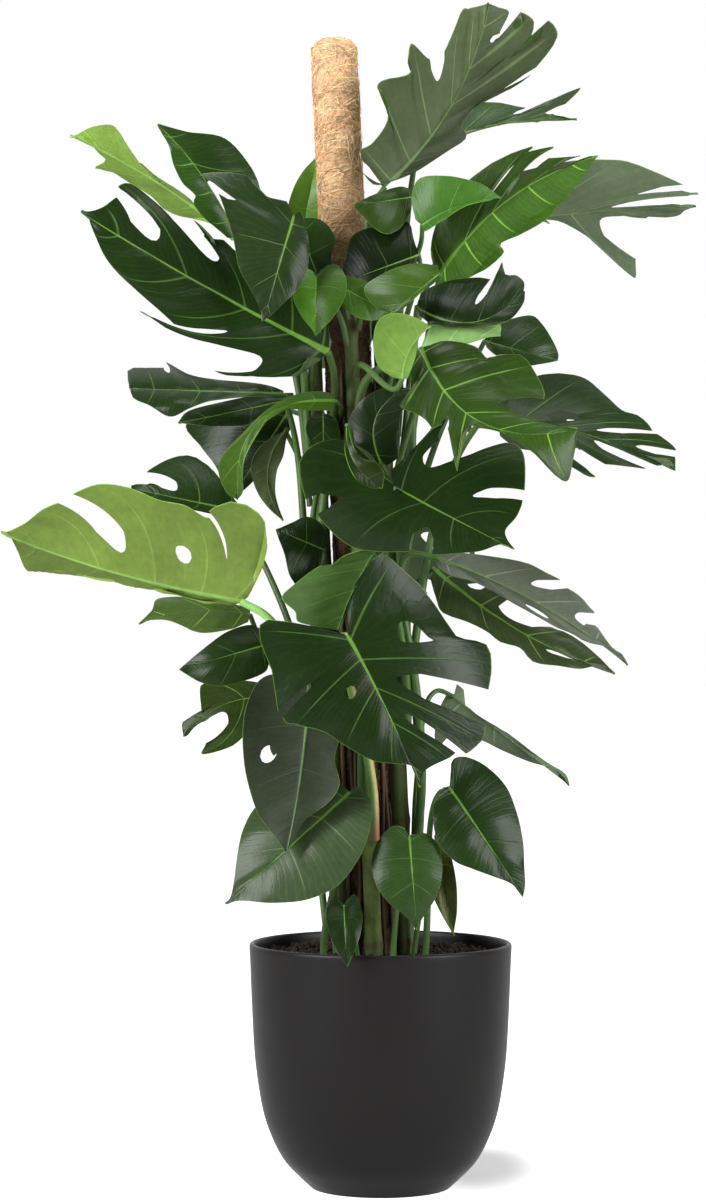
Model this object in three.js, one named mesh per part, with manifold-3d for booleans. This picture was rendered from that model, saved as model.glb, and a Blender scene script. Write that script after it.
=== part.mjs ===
// A swiss cheese plant (Monstera) trained up a coir pole in a matt pot, in millimetres.
// +Z is up, +X is to the right and -Y is to the front. The origin is the centre of the pot's flat foot.
import * as THREE from "three";
import { mergeVertices } from "three/addons/utils/BufferGeometryUtils.js";
import Module from "manifold-3d";

const wasm = await Module();
wasm.setup();

// Driving dimensions
const POT_RADIUS = 150.5; // outside, at the rim
const POT_HEIGHT = 279;
const POT_WALL = 6;
const FOOT_RADIUS = 80;
const SOIL_LEVEL = 263;
const POLE_RADIUS = 26.5; // over the coir
const POLE_TOP = new THREE.Vector3(-54, 0, 1320);
const POLE_FOOT = new THREE.Vector3(2, 0, 62); // where the bare stake ends in the soil
const COIR_START = 0.06; // share of the pole that is bare stake
const STAKE_RADIUS = 9;
const STEM_RADIUS = 10;
const STEM_FOOT = 150; // height at which the stems end in the soil
const STALK_SIDES = 4;
const BLADE_THICKNESS = 1;
const GAP = 0.4; // between pieces that only touch

// A leaf's points are read on the upright plane through the origin, as an eye in front sees them.
// Heights are read from the front of the foot, which that eye sees a little below the foot's centre.
const EYE = new THREE.Vector3(-31.6, -3600, 640);
const FOOT_SHOWS = 15;

// The place at depth y that the eye sees at (x, z) of the reading plane.
function seen([x, z, y]) {
  const onPlane = new THREE.Vector3(x, 0, z - FOOT_SHOWS);
  return EYE.clone().lerp(onPlane, (y - EYE.y) / -EYE.y);
}

// A mesh geometry as a solid. Only its positions count.
function solid(geometry) {
  const bare = geometry.clone();
  bare.deleteAttribute("normal");
  bare.deleteAttribute("uv");
  const merged = mergeVertices(bare, 1e-3);
  return new wasm.Manifold(
    new wasm.Mesh({
      numProp: 3,
      vertProperties: new Float32Array(merged.attributes.position.array),
      triVerts: new Uint32Array(merged.index.array),
    }),
  );
}

function geometryOf(made) {
  const mesh = made.getMesh();
  return new THREE.BufferGeometry()
    .setAttribute("position", new THREE.BufferAttribute(mesh.vertProperties, 3))
    .setIndex(new THREE.BufferAttribute(mesh.triVerts, 1));
}

// A closed round bar along points, with a radius at each and flat ends.
function sweep(points, radii, sides) {
  const position = [];
  const index = [];
  let across = new THREE.Vector3(0, 1, 0);
  points.forEach((point, i) => {
    const before = points[Math.max(i - 1, 0)];
    const after = points[Math.min(i + 1, points.length - 1)];
    const along = after.clone().sub(before).normalize();
    across = across.clone().addScaledVector(along, -across.dot(along)).normalize();
    const third = along.clone().cross(across);
    for (let k = 0; k < sides; k++) {
      const turn = (2 * Math.PI * k) / sides;
      const rim = point.clone();
      rim.addScaledVector(across, radii[i] * Math.cos(turn));
      rim.addScaledVector(third, radii[i] * Math.sin(turn));
      position.push(...rim.toArray());
    }
  });
  for (let i = 0; i + 1 < points.length; i++) {
    for (let k = 0; k < sides; k++) {
      const a = i * sides + k;
      const b = i * sides + ((k + 1) % sides);
      index.push(a, b, a + sides, b, b + sides, a + sides);
    }
  }
  const last = (points.length - 1) * sides;
  for (let k = 1; k + 1 < sides; k++) {
    index.push(0, k + 1, k, last, last + k, last + k + 1);
  }
  return new THREE.BufferGeometry()
    .setAttribute("position", new THREE.Float32BufferAttribute(position, 3))
    .setIndex(index);
}

// A solid turned about +Z from an outline of radii and heights.
function turned(outline, sides) {
  return new THREE.LatheGeometry(outline, sides).rotateX(Math.PI / 2);
}

// Pot and soil

// The pot's outside from the foot's edge to just under the rim: radius and height.
const POT_SIDE = new THREE.SplineCurve(
  [
    [FOOT_RADIUS, 0],
    [95, 14],
    [110, 30],
    [122.5, 52],
    [133, 80],
    [139.5, 112],
    [144.5, 152],
    [147.5, 205],
    [149.5, 255],
    [POT_RADIUS, POT_HEIGHT - 4],
  ].map(([r, z]) => new THREE.Vector2(r, z)),
);
const POT_STEPS = 8;
const POT_SIDES = 28;

// The pot's side moved inward by a distance, from the axis at a floor height up to a top height.
function potInside(inset, floor, top) {
  const side = POT_SIDE.getPoints(POT_STEPS);
  const radiusAt = (z) => {
    const above = side.findIndex((point) => point.y > z);
    const [low, high] = [side[above - 1], side[above]];
    return THREE.MathUtils.mapLinear(z, low.y, high.y, low.x, high.x) - inset;
  };
  const between = side.filter((point) => point.y > floor + 6 && point.y < top - 4);
  const heights = [floor, ...between.map((point) => point.y), top];
  const wall = heights.map((z) => new THREE.Vector2(radiusAt(z), z));
  return [new THREE.Vector2(0, floor), ...wall];
}

function potGeometry() {
  const outside = [new THREE.Vector2(0, 0), ...POT_SIDE.getPoints(POT_STEPS)];
  const lip = [
    [POT_RADIUS - 0.8, POT_HEIGHT - 1.4],
    [POT_RADIUS - 2.6, POT_HEIGHT],
    [POT_RADIUS - 4.6, POT_HEIGHT - 0.4],
    [POT_RADIUS - POT_WALL, POT_HEIGHT - 2.6],
  ].map(([r, z]) => new THREE.Vector2(r, z));
  const inside = potInside(POT_WALL, POT_WALL, POT_HEIGHT - 6).reverse();
  return turned([...outside, ...lip, ...inside], POT_SIDES);
}

// The soil fills the pot and is a little higher in the middle. Holes hold the stake, stems and stalks.
function soilGeometry(holes) {
  const outline = potInside(POT_WALL + GAP, POT_WALL + GAP, SOIL_LEVEL - 2);
  outline.push(new THREE.Vector2(90, SOIL_LEVEL), new THREE.Vector2(0, SOIL_LEVEL + 3));
  const earth = solid(turned(outline, POT_SIDES));
  return geometryOf(holes.reduce((left, hole) => left.subtract(hole), earth));
}

// Pole

const POLE_AXIS = POLE_TOP.clone().sub(POLE_FOOT).normalize();

// The middle of the pole at a height.
function poleAt(z) {
  const share = (z - POLE_FOOT.z) / (POLE_TOP.z - POLE_FOOT.z);
  return POLE_FOOT.clone().lerp(POLE_TOP, share);
}

// A solid turned about +Z, stood on the pole's foot and leant along the pole.
function alongPole(geometry) {
  const lean = new THREE.Quaternion().setFromUnitVectors(new THREE.Vector3(0, 0, 1), POLE_AXIS);
  return geometry.applyQuaternion(lean).translate(...POLE_FOOT.toArray());
}

function poleTurned(outline, sides) {
  return alongPole(turned(outline.map(([r, z]) => new THREE.Vector2(r, z)), sides));
}

const POLE_LENGTH = POLE_TOP.distanceTo(POLE_FOOT);
const CORE_TOP = POLE_LENGTH - 14;

function poleCoreGeometry() {
  const point = 26;
  const outline = [
    [0, 0],
    [STAKE_RADIUS, point],
    [STAKE_RADIUS, CORE_TOP],
    [0, CORE_TOP],
  ];
  return poleTurned(outline, 12);
}

// The coir is slightly uneven, as wound fibre is, and domed over the top of the stake.
function coirGeometry() {
  const foot = COIR_START * POLE_LENGTH;
  const shoulder = POLE_LENGTH - 17;
  const bore = STAKE_RADIUS + 2 * GAP;
  const outline = [[bore, foot], [POLE_RADIUS, foot]];
  const steps = 9;
  for (let i = 1; i <= steps; i++) {
    const uneven = Math.sin(2.1 * i) - 1;
    outline.push([POLE_RADIUS + 0.6 * uneven, THREE.MathUtils.lerp(foot, shoulder, i / steps)]);
  }
  outline.push([POLE_RADIUS - 5, POLE_LENGTH - 7], [POLE_RADIUS - 14, POLE_LENGTH - 1.5]);
  outline.push([0, POLE_LENGTH], [0, CORE_TOP + GAP], [bore, CORE_TOP + GAP], [bore, foot]);
  return poleTurned(outline, 16);
}

// Climbing stems, by bearing round the pole in degrees: 0 is right, 90 back, 180 left and 270 front.

const STEMS = {
  front: { bearing: 268, top: 1060, wind: 10 },
  right: { bearing: 345, top: 1120, wind: 18 },
  back: { bearing: 88, top: 1150, wind: -12 },
  left: { bearing: 196, top: 1090, wind: -16 },
};
const STEM_REACH = POLE_RADIUS + STEM_RADIUS + 1.5;
const NODE_SPACING = 140;

function bearingWay(bearing) {
  const turn = THREE.MathUtils.degToRad(bearing);
  return new THREE.Vector3(Math.cos(turn), Math.sin(turn), 0);
}

function stemAt(name, z) {
  const { bearing, top, wind } = STEMS[name];
  const share = (z - STEM_FOOT) / (top - STEM_FOOT);
  return poleAt(z).addScaledVector(bearingWay(bearing + wind * share), STEM_REACH);
}

// The stem swells at its nodes and thins toward its top.
function stemRadius(name, z) {
  const share = (z - STEM_FOOT) / (STEMS[name].top - STEM_FOOT);
  const swell = Math.max(0, Math.cos((2 * Math.PI * z) / NODE_SPACING)) ** 6;
  return STEM_RADIUS * (1 - 0.25 * share) + 1.1 * swell;
}

function stemGeometry(name) {
  const { top } = STEMS[name];
  const heights = [STEM_FOOT];
  for (let z = 2 * NODE_SPACING; z < top - 30; z += NODE_SPACING) {
    heights.push(z - 14, z, z + 14);
  }
  heights.push(top);
  const radii = heights.map((z) => stemRadius(name, z));
  radii[radii.length - 1] *= 0.5;
  return sweep(heights.map((z) => stemAt(name, z)), radii, 6);
}

// Leaves

// Half of a blade's outline, from the back of its base lobe to its tip: along the midrib as a share
// of its length, and across as a share of its half width.
function halfOutline(points) {
  const corners = points.map(([x, y]) => new THREE.Vector3(x, y, 0));
  return new THREE.CatmullRomCurve3(corners, false, "centripetal");
}

// A young leaf is a plain heart.
const HEART = halfOutline([
  [-0.14, 0.22],
  [-0.19, 0.56],
  [-0.05, 0.87],
  [0.19, 1.0],
  [0.47, 0.88],
  [0.73, 0.55],
  [0.9, 0.2],
  [1.0, 0.0],
]);

// A grown leaf is broad to its end.
const BROAD = halfOutline([
  [-0.13, 0.2],
  [-0.19, 0.56],
  [-0.05, 0.88],
  [0.2, 1.0],
  [0.5, 0.98],
  [0.77, 0.78],
  [0.94, 0.42],
  [1.0, 0.0],
]);

// Cuts between side veins, by their letter: the knots along the vein, the first knot that is open and
// the last, and how far it opens to each side as a share of the space between two veins.
const CUTS = {
  "-": { knots: [0, 0.55, 1], first: 9, last: 0, open: 0 },
  o: { knots: [0, 0.14, 0.27, 0.42, 1], first: 2, last: 2, open: 0.26 },
  i: { knots: [0, 0.24, 0.33, 0.42, 1], first: 2, last: 2, open: 0.15 },
  I: { knots: [0, 0.42, 0.56, 0.7, 1], first: 2, last: 2, open: 0.16 },
  s: { knots: [0, 0.6, 0.78, 1], first: 2, last: 3, open: 0.16 },
  S: { knots: [0, 0.38, 0.64, 1], first: 2, last: 3, open: 0.22 },
  D: { knots: [0, 0.2, 0.55, 1], first: 2, last: 3, open: 0.27 },
  l: { knots: [0, 0.4, 0.7, 1], first: 2, last: 3, open: 0.04 },
};

function reachesMargin({ knots, last }) {
  return last === knots.length - 1;
}

// From 0 at the root of a cut that reaches the margin to 1 at the margin.
function pastRoot(cut, share) {
  const root = cut.knots[cut.first - 1];
  if (!reachesMargin(cut) || share <= root) return 0;
  return ((share - root) / (1 - root)) ** 2;
}

// How far a cut stands open at a share of the vein.
function gape(cut, share) {
  const { knots, first, last, open } = cut;
  const root = knots[first - 1];
  if (first > last || share <= root) return 0;
  if (reachesMargin(cut)) return open * Math.min(1, Math.sqrt((share - root) / 0.22));
  const middle = (root + knots[last + 1]) / 2;
  const half = (knots[last + 1] - root) / 2;
  return open * Math.sqrt(Math.max(0, 1 - ((share - middle) / half) ** 2));
}

// Where a side vein's middle stands between its root and the margin.
const VEIN_MIDDLE = 0.56;
// On an untraced leaf, how fast the veins' roots leave the joint and how far the veins bow.
const PLAIN_SPREAD = 2.1;
const PLAIN_BOW = 0.13;
// How far the two corners of a lobe beside a cut fall short of the margin: base side, tip side.
const ROUNDED = [0.17, 0.06];
const TRACED_ROUNDED = [0.05, 0.02];
const STEEPEST = 0.5; // least share of a lift that counts across the line of sight
const OUTMOST = 1.2; // most of the half width at which the curl still grows

// What a leaf has where its row says nothing.
const USUAL = {
  lean: 0.14, // outward for each mm up, where the stalk starts
  rise: 0.5,
  bend: 0.35,
  arrive: [0.5, 0.8],
  stalk: 3.2,
  fold: [8, 8],
  curl: [35, 35],
  arch: 10,
  sway: 0,
  wave: 2,
  heel: 1,
  spread: 1.5,
  bow: 0.05,
  deep: [0, 0],
};

// A curve through points that each have a knot number, at a number between the first and the last.
function through(points, number) {
  const above = Math.max(1, points.findIndex(({ knot }) => knot >= number));
  const [a, b, c, d] = [above - 2, above - 1, above, above + 1].map(
    (i) => points[THREE.MathUtils.clamp(i, 0, points.length - 1)],
  );
  const span = c.knot - b.knot;
  const t = (number - b.knot) / span;
  const slope = (from, to) => to.at.clone().sub(from.at).multiplyScalar(span / (to.knot - from.knot));
  const [leave, reach] = [slope(a, c), slope(b, d)];
  return b.at
    .clone()
    .multiplyScalar((1 + 2 * t) * (1 - t) ** 2)
    .addScaledVector(leave, t * (1 - t) ** 2)
    .addScaledVector(c.at, t * t * (3 - 2 * t))
    .addScaledVector(reach, t * t * (t - 1));
}

// A leaf as a surface. Side is -1 for left and 1 for right with the tip up, seen from the upper face.
// Vein runs from 0 at the base lobe to 1 at the tip, and share from 0 at the midrib to 1 at the margin.
class Blade {
  constructor(leaf) {
    this.leaf = { ...USUAL, ...leaf };
    this.joint = seen(leaf.joint);
    this.chord = seen(leaf.tip).sub(this.joint);
    const [yaw, pitch] = leaf.face.map(THREE.MathUtils.degToRad);
    const facing = new THREE.Vector3(
      Math.sin(yaw) * Math.cos(pitch),
      -Math.cos(yaw) * Math.cos(pitch),
      Math.sin(pitch),
    );
    this.forward = this.chord.clone().normalize();
    this.normal = facing.addScaledVector(this.forward, -facing.dot(this.forward)).normalize();
    this.across = this.forward.clone().cross(this.normal);
    this.cuts = [leaf.left, leaf.right].map((letters) => ["-", ...letters, "-"].map((c) => CUTS[c]));
    this.lobes = leaf.left.length + 1;
    const cut = /[sSD]/.test(leaf.left + leaf.right);
    this.outline = cut ? BROAD : HEART;
    this.fingered = cut && Boolean(leaf.margins);
    this.margins = [0, 1].map((k) => leaf.margins && this.traced(leaf.margins[k]));
    this.reach = this.margins.map((margin) => margin && Math.max(...margin.map(({ at }) => Math.abs(at.y))));
  }

  // A margin read as [lobe, x, z] from the base to the tip, on the flat of the blade.
  traced(edge) {
    const points = edge.map(([lobe, x, z]) => {
      const sight = seen([x, z, 0]).sub(EYE);
      const far = this.joint.clone().sub(EYE).dot(this.normal) / sight.dot(this.normal);
      const place = sight.multiplyScalar(far).add(EYE).sub(this.joint);
      return { knot: lobe, at: new THREE.Vector2(place.dot(this.forward), place.dot(this.across)) };
    });
    points.push({ knot: this.lobes, at: new THREE.Vector2(this.chord.length(), 0) });
    return points;
  }

  // A place on a traced blade. It leaves the flat along the line of sight, so the outline stays as read.
  tracedPoint(side, vein, share) {
    const { fold, curl, arch, sway, wave, deep } = this.leaf;
    const k = side < 0 ? 0 : 1;
    const length = this.chord.length();
    const edge = through(this.margins[k], vein * this.lobes);
    const start = vein ** this.leaf.spread;
    const root = new THREE.Vector2(start * length, 4 * sway * start * (1 - start));
    const bow = root.clone().lerp(edge, VEIN_MIDDLE);
    bow.x -= this.leaf.bow * Math.abs(edge.y - root.y);
    bow.y += this.leaf.bow * side * (edge.x - root.x);
    const flat = root.clone().multiplyScalar((1 - share) ** 2);
    flat.addScaledVector(bow, 2 * share * (1 - share)).addScaledVector(edge, share ** 2);
    const u = flat.x / length;
    const middle = u < 0 ? 0 : 4 * sway * u * (1 - u);
    const y = Math.min(OUTMOST, Math.abs(flat.y - middle) / this.reach[k]);
    const tilt = THREE.MathUtils.degToRad(fold[k]);
    const bend = THREE.MathUtils.degToRad(curl[k]) || 1e-6;
    const rise = (this.reach[k] / bend) * (Math.cos(tilt - bend * y) - Math.cos(tilt));
    const ripple = wave * share ** 2 * Math.sin(9 * vein + this.leaf.joint[1] + 2 * side);
    const lift = rise + ripple + deep[k] * y + (u < 0 ? 0 : 4 * arch * u * (1 - u));
    const at = this.joint.clone().addScaledVector(this.forward, flat.x).addScaledVector(this.across, flat.y);
    const sight = at.clone().sub(EYE).normalize();
    const square = sight.dot(this.normal);
    return at.addScaledVector(sight, (lift * Math.sign(square)) / Math.max(Math.abs(square), STEEPEST));
  }

  // The midrib at a share of its length, with the ways across and up from the blade there.
  frame(u) {
    const { arch, sway } = this.leaf;
    const bow = u < 0 ? 4 * u : 4 * u * (1 - u);
    const slope = u < 0 ? 4 : 4 - 8 * u;
    const at = this.joint.clone().addScaledVector(this.chord, u);
    at.addScaledVector(this.normal, arch * bow).addScaledVector(this.across, sway * bow);
    const along = this.chord.clone().addScaledVector(this.normal, arch * slope);
    along.addScaledVector(this.across, sway * slope).normalize();
    const across = this.across.clone().addScaledVector(along, -this.across.dot(along)).normalize();
    return { at, along, across, up: across.clone().cross(along) };
  }

  point(side, vein, share) {
    const { width, fold, curl, wave, heel } = this.leaf;
    const k = side < 0 ? 0 : 1;
    if (this.margins[k]) return this.tracedPoint(side, vein, share);
    const edge = this.outline.getPoint(THREE.MathUtils.clamp(vein, 0, 1));
    const behind = edge.x < 0 ? heel : 1;
    const start = vein ** PLAIN_SPREAD;
    const bowX = (start + edge.x * behind) / 2 - PLAIN_BOW * edge.y;
    const x = (1 - share) ** 2 * start + 2 * share * (1 - share) * bowX + share ** 2 * edge.x * behind;
    const y = (2 * share * (1 - share) * VEIN_MIDDLE + share ** 2) * edge.y;
    const { at, across, up } = this.frame(x);
    const tilt = THREE.MathUtils.degToRad(fold[k]);
    const bend = THREE.MathUtils.degToRad(curl[k]) || 1e-6;
    const end = tilt - bend * y;
    const out = (width[k] / bend) * (Math.sin(tilt) - Math.sin(end));
    const rise = (width[k] / bend) * (Math.cos(end) - Math.cos(tilt));
    const ripple = wave * share ** 2 * Math.sin(9 * vein + this.leaf.joint[1] + 2 * side);
    return at.addScaledVector(across, side * out).addScaledVector(up, rise + ripple);
  }

  // A place in one lobe: across it from 0 on its base side to 1 on its tip side, and out along it.
  inLobe(side, lobe, across, share) {
    const cuts = this.cuts[side < 0 ? 0 : 1];
    const [low, high] = [cuts[lobe], cuts[lobe + 1]];
    const from = lobe + gape(low, share);
    const to = lobe + 1 - gape(high, share);
    const vein = (from + (to - from) * across) / this.lobes;
    const [blunt, keen] = this.margins[side < 0 ? 0 : 1] ? TRACED_ROUNDED : ROUNDED;
    const short = blunt * pastRoot(low, share) * (1 - across) ** 2 + keen * pastRoot(high, share) * across ** 2;
    return this.point(side, vein, share * (1 - short));
  }
}

// Triangles of a blade's middle surface. Points at the same place are one.
function bladeSheet(blade) {
  const points = [];
  const triangles = [];
  const places = new Map();
  const put = (point) => {
    const key = point.toArray().map((v) => v.toFixed(2)).join();
    if (!places.has(key)) {
      places.set(key, points.length);
      points.push(point);
    }
    return places.get(key);
  };
  const join = (side, a, b, c) => {
    if (a === b || b === c || c === a) return;
    triangles.push(side < 0 ? [a, c, b] : [a, b, c]);
  };
  for (const side of [-1, 1]) {
    const cuts = blade.cuts[side < 0 ? 0 : 1];
    for (let lobe = 0; lobe < blade.lobes; lobe++) {
      const rows = [cuts[lobe].knots, cuts[lobe + 1].knots];
      const [low, high] = rows.map((knots, k) => knots.map((s) => put(blade.inLobe(side, lobe, k, s))));
      let [i, j] = [0, 0];
      while (i + 1 < low.length || j + 1 < high.length) {
        const nextLow = rows[0][i + 1] ?? 2;
        const nextHigh = rows[1][j + 1] ?? 2;
        if (nextLow < nextHigh) join(side, low[i], low[++i], high[j]);
        else join(side, low[i], high[j + 1], high[j++]);
      }
      const between = (across) => put(blade.inLobe(side, lobe, across, 1));
      const middle = between(0.5);
      join(side, low[i], middle, high[j]);
      if (blade.fingered) {
        join(side, low[i], between(0.25), middle);
        join(side, middle, between(0.75), high[j]);
      }
    }
  }
  return { points, triangles };
}

// The sheet given its thickness, with both faces split into triangles alike.
function bladeGeometry(blade) {
  const { points, triangles } = bladeSheet(blade);
  const normals = points.map(() => new THREE.Vector3());
  const edges = new Map();
  for (const corners of triangles) {
    const [a, b, c] = corners.map((i) => points[i]);
    const facing = b.clone().sub(a).cross(c.clone().sub(a));
    corners.forEach((i, n) => {
      normals[i].add(facing);
      const next = corners[(n + 1) % 3];
      if (!edges.delete(`${next},${i}`)) edges.set(`${i},${next}`, [i, next]);
    });
  }
  const position = [];
  for (const way of [1, -1]) {
    points.forEach((point, i) => {
      const shift = normals[i].clone().setLength((way * BLADE_THICKNESS) / 2);
      position.push(...point.clone().add(shift).toArray());
    });
  }
  const under = points.length;
  const index = [];
  for (const [a, b, c] of triangles) index.push(a, b, c, under + a, under + c, under + b);
  for (const [a, b] of edges.values()) index.push(a, under + a, under + b, a, under + b, b);
  return new THREE.BufferGeometry()
    .setAttribute("position", new THREE.Float32BufferAttribute(position, 3))
    .setIndex(index);
}

// Balls along the pole, the stems and the stalks made so far, which a new stalk is bent clear of.
const standing = [];
const BALL_SPACING = 6;
const CLEARANCE = 1.2;

function standAlong(points, radii) {
  for (let i = 0; i + 1 < points.length; i++) {
    const steps = Math.ceil(points[i].distanceTo(points[i + 1]) / BALL_SPACING);
    for (let k = 0; k < steps; k++) {
      const at = points[i].clone().lerp(points[i + 1], k / steps);
      standing.push({ at, radius: THREE.MathUtils.lerp(radii[i], radii[i + 1], k / steps) });
    }
  }
}

// Moves the inner points of a stalk off what stands in its way. Its neighbours share each move.
function bendClear(points, radii) {
  const low = Math.min(...points.map((point) => point.z)) - 20;
  const high = Math.max(...points.map((point) => point.z)) + 20;
  const near = standing.filter(({ at }) => at.z > low && at.z < high);
  const shifts = points.map(() => new THREE.Vector3());
  const last = points.length - 1;
  for (let round = 0; round < 60; round++) {
    let moved = false;
    for (let i = 0; i < last; i++) {
      for (const share of [0, 0.25, 0.5, 0.75]) {
        const here = points[i].clone().add(shifts[i]);
        here.lerp(points[i + 1].clone().add(shifts[i + 1]), share);
        const radius = THREE.MathUtils.lerp(radii[i], radii[i + 1], share) + CLEARANCE;
        for (const ball of near) {
          const away = here.clone().sub(ball.at);
          const short = radius + ball.radius - away.length();
          if (short <= 0) continue;
          away.setLength(0.6 * short);
          if (i > 0) shifts[i].addScaledVector(away, 1 - share);
          if (i + 1 < last) shifts[i + 1].addScaledVector(away, share);
          here.addScaledVector(away, 0.5);
          moved = true;
        }
      }
    }
    if (!moved) break;
    for (let i = 1; i < last; i++) {
      const even = shifts[i - 1].clone().add(shifts[i + 1]).multiplyScalar(0.5);
      shifts[i].lerp(even, 0.15);
    }
  }
  return points.map((point, i) => point.clone().add(shifts[i]));
}

// A stalk leaves its stem, or the soil, rises and bends over to the blade.
function stalkGeometry(blade) {
  const { stem, from, bearing, lean, stalk, rise, bend, arrive } = blade.leaf;
  const way = bearingWay(bearing);
  const foot = stem
    ? stemAt(stem, from).addScaledVector(way, stemRadius(stem, from) + 1.5 * stalk + 1.5)
    : new THREE.Vector3(...from);
  const joint = blade.frame(0);
  const climb = new THREE.Vector3(0, 0, 1).addScaledVector(way, lean).normalize();
  const reach = foot.distanceTo(joint.at);
  const [along, up] = arrive;
  const back = joint.along.clone().multiplyScalar(along).addScaledVector(joint.up, up).normalize();
  const path = new THREE.CubicBezierCurve3(
    foot,
    foot.clone().addScaledVector(climb, rise * reach),
    joint.at.clone().addScaledVector(back, -bend * reach),
    joint.at,
  );
  const steps = 7;
  const radii = Array.from({ length: steps + 1 }, (_, i) => stalk * (1.5 - (0.5 * i) / steps));
  const points = bendClear(path.getPoints(steps), radii);
  standAlong(points, radii);
  return sweep(points, radii, STALK_SIDES);
}

// Leaf colours by age and by which face shows
const GREEN = {
  dark: 0x24401f,
  mid: 0x3c6a2c,
  light: 0x6f9c45,
  under: 0x5b6e44,
  old: 0x5a3a22,
};

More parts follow.
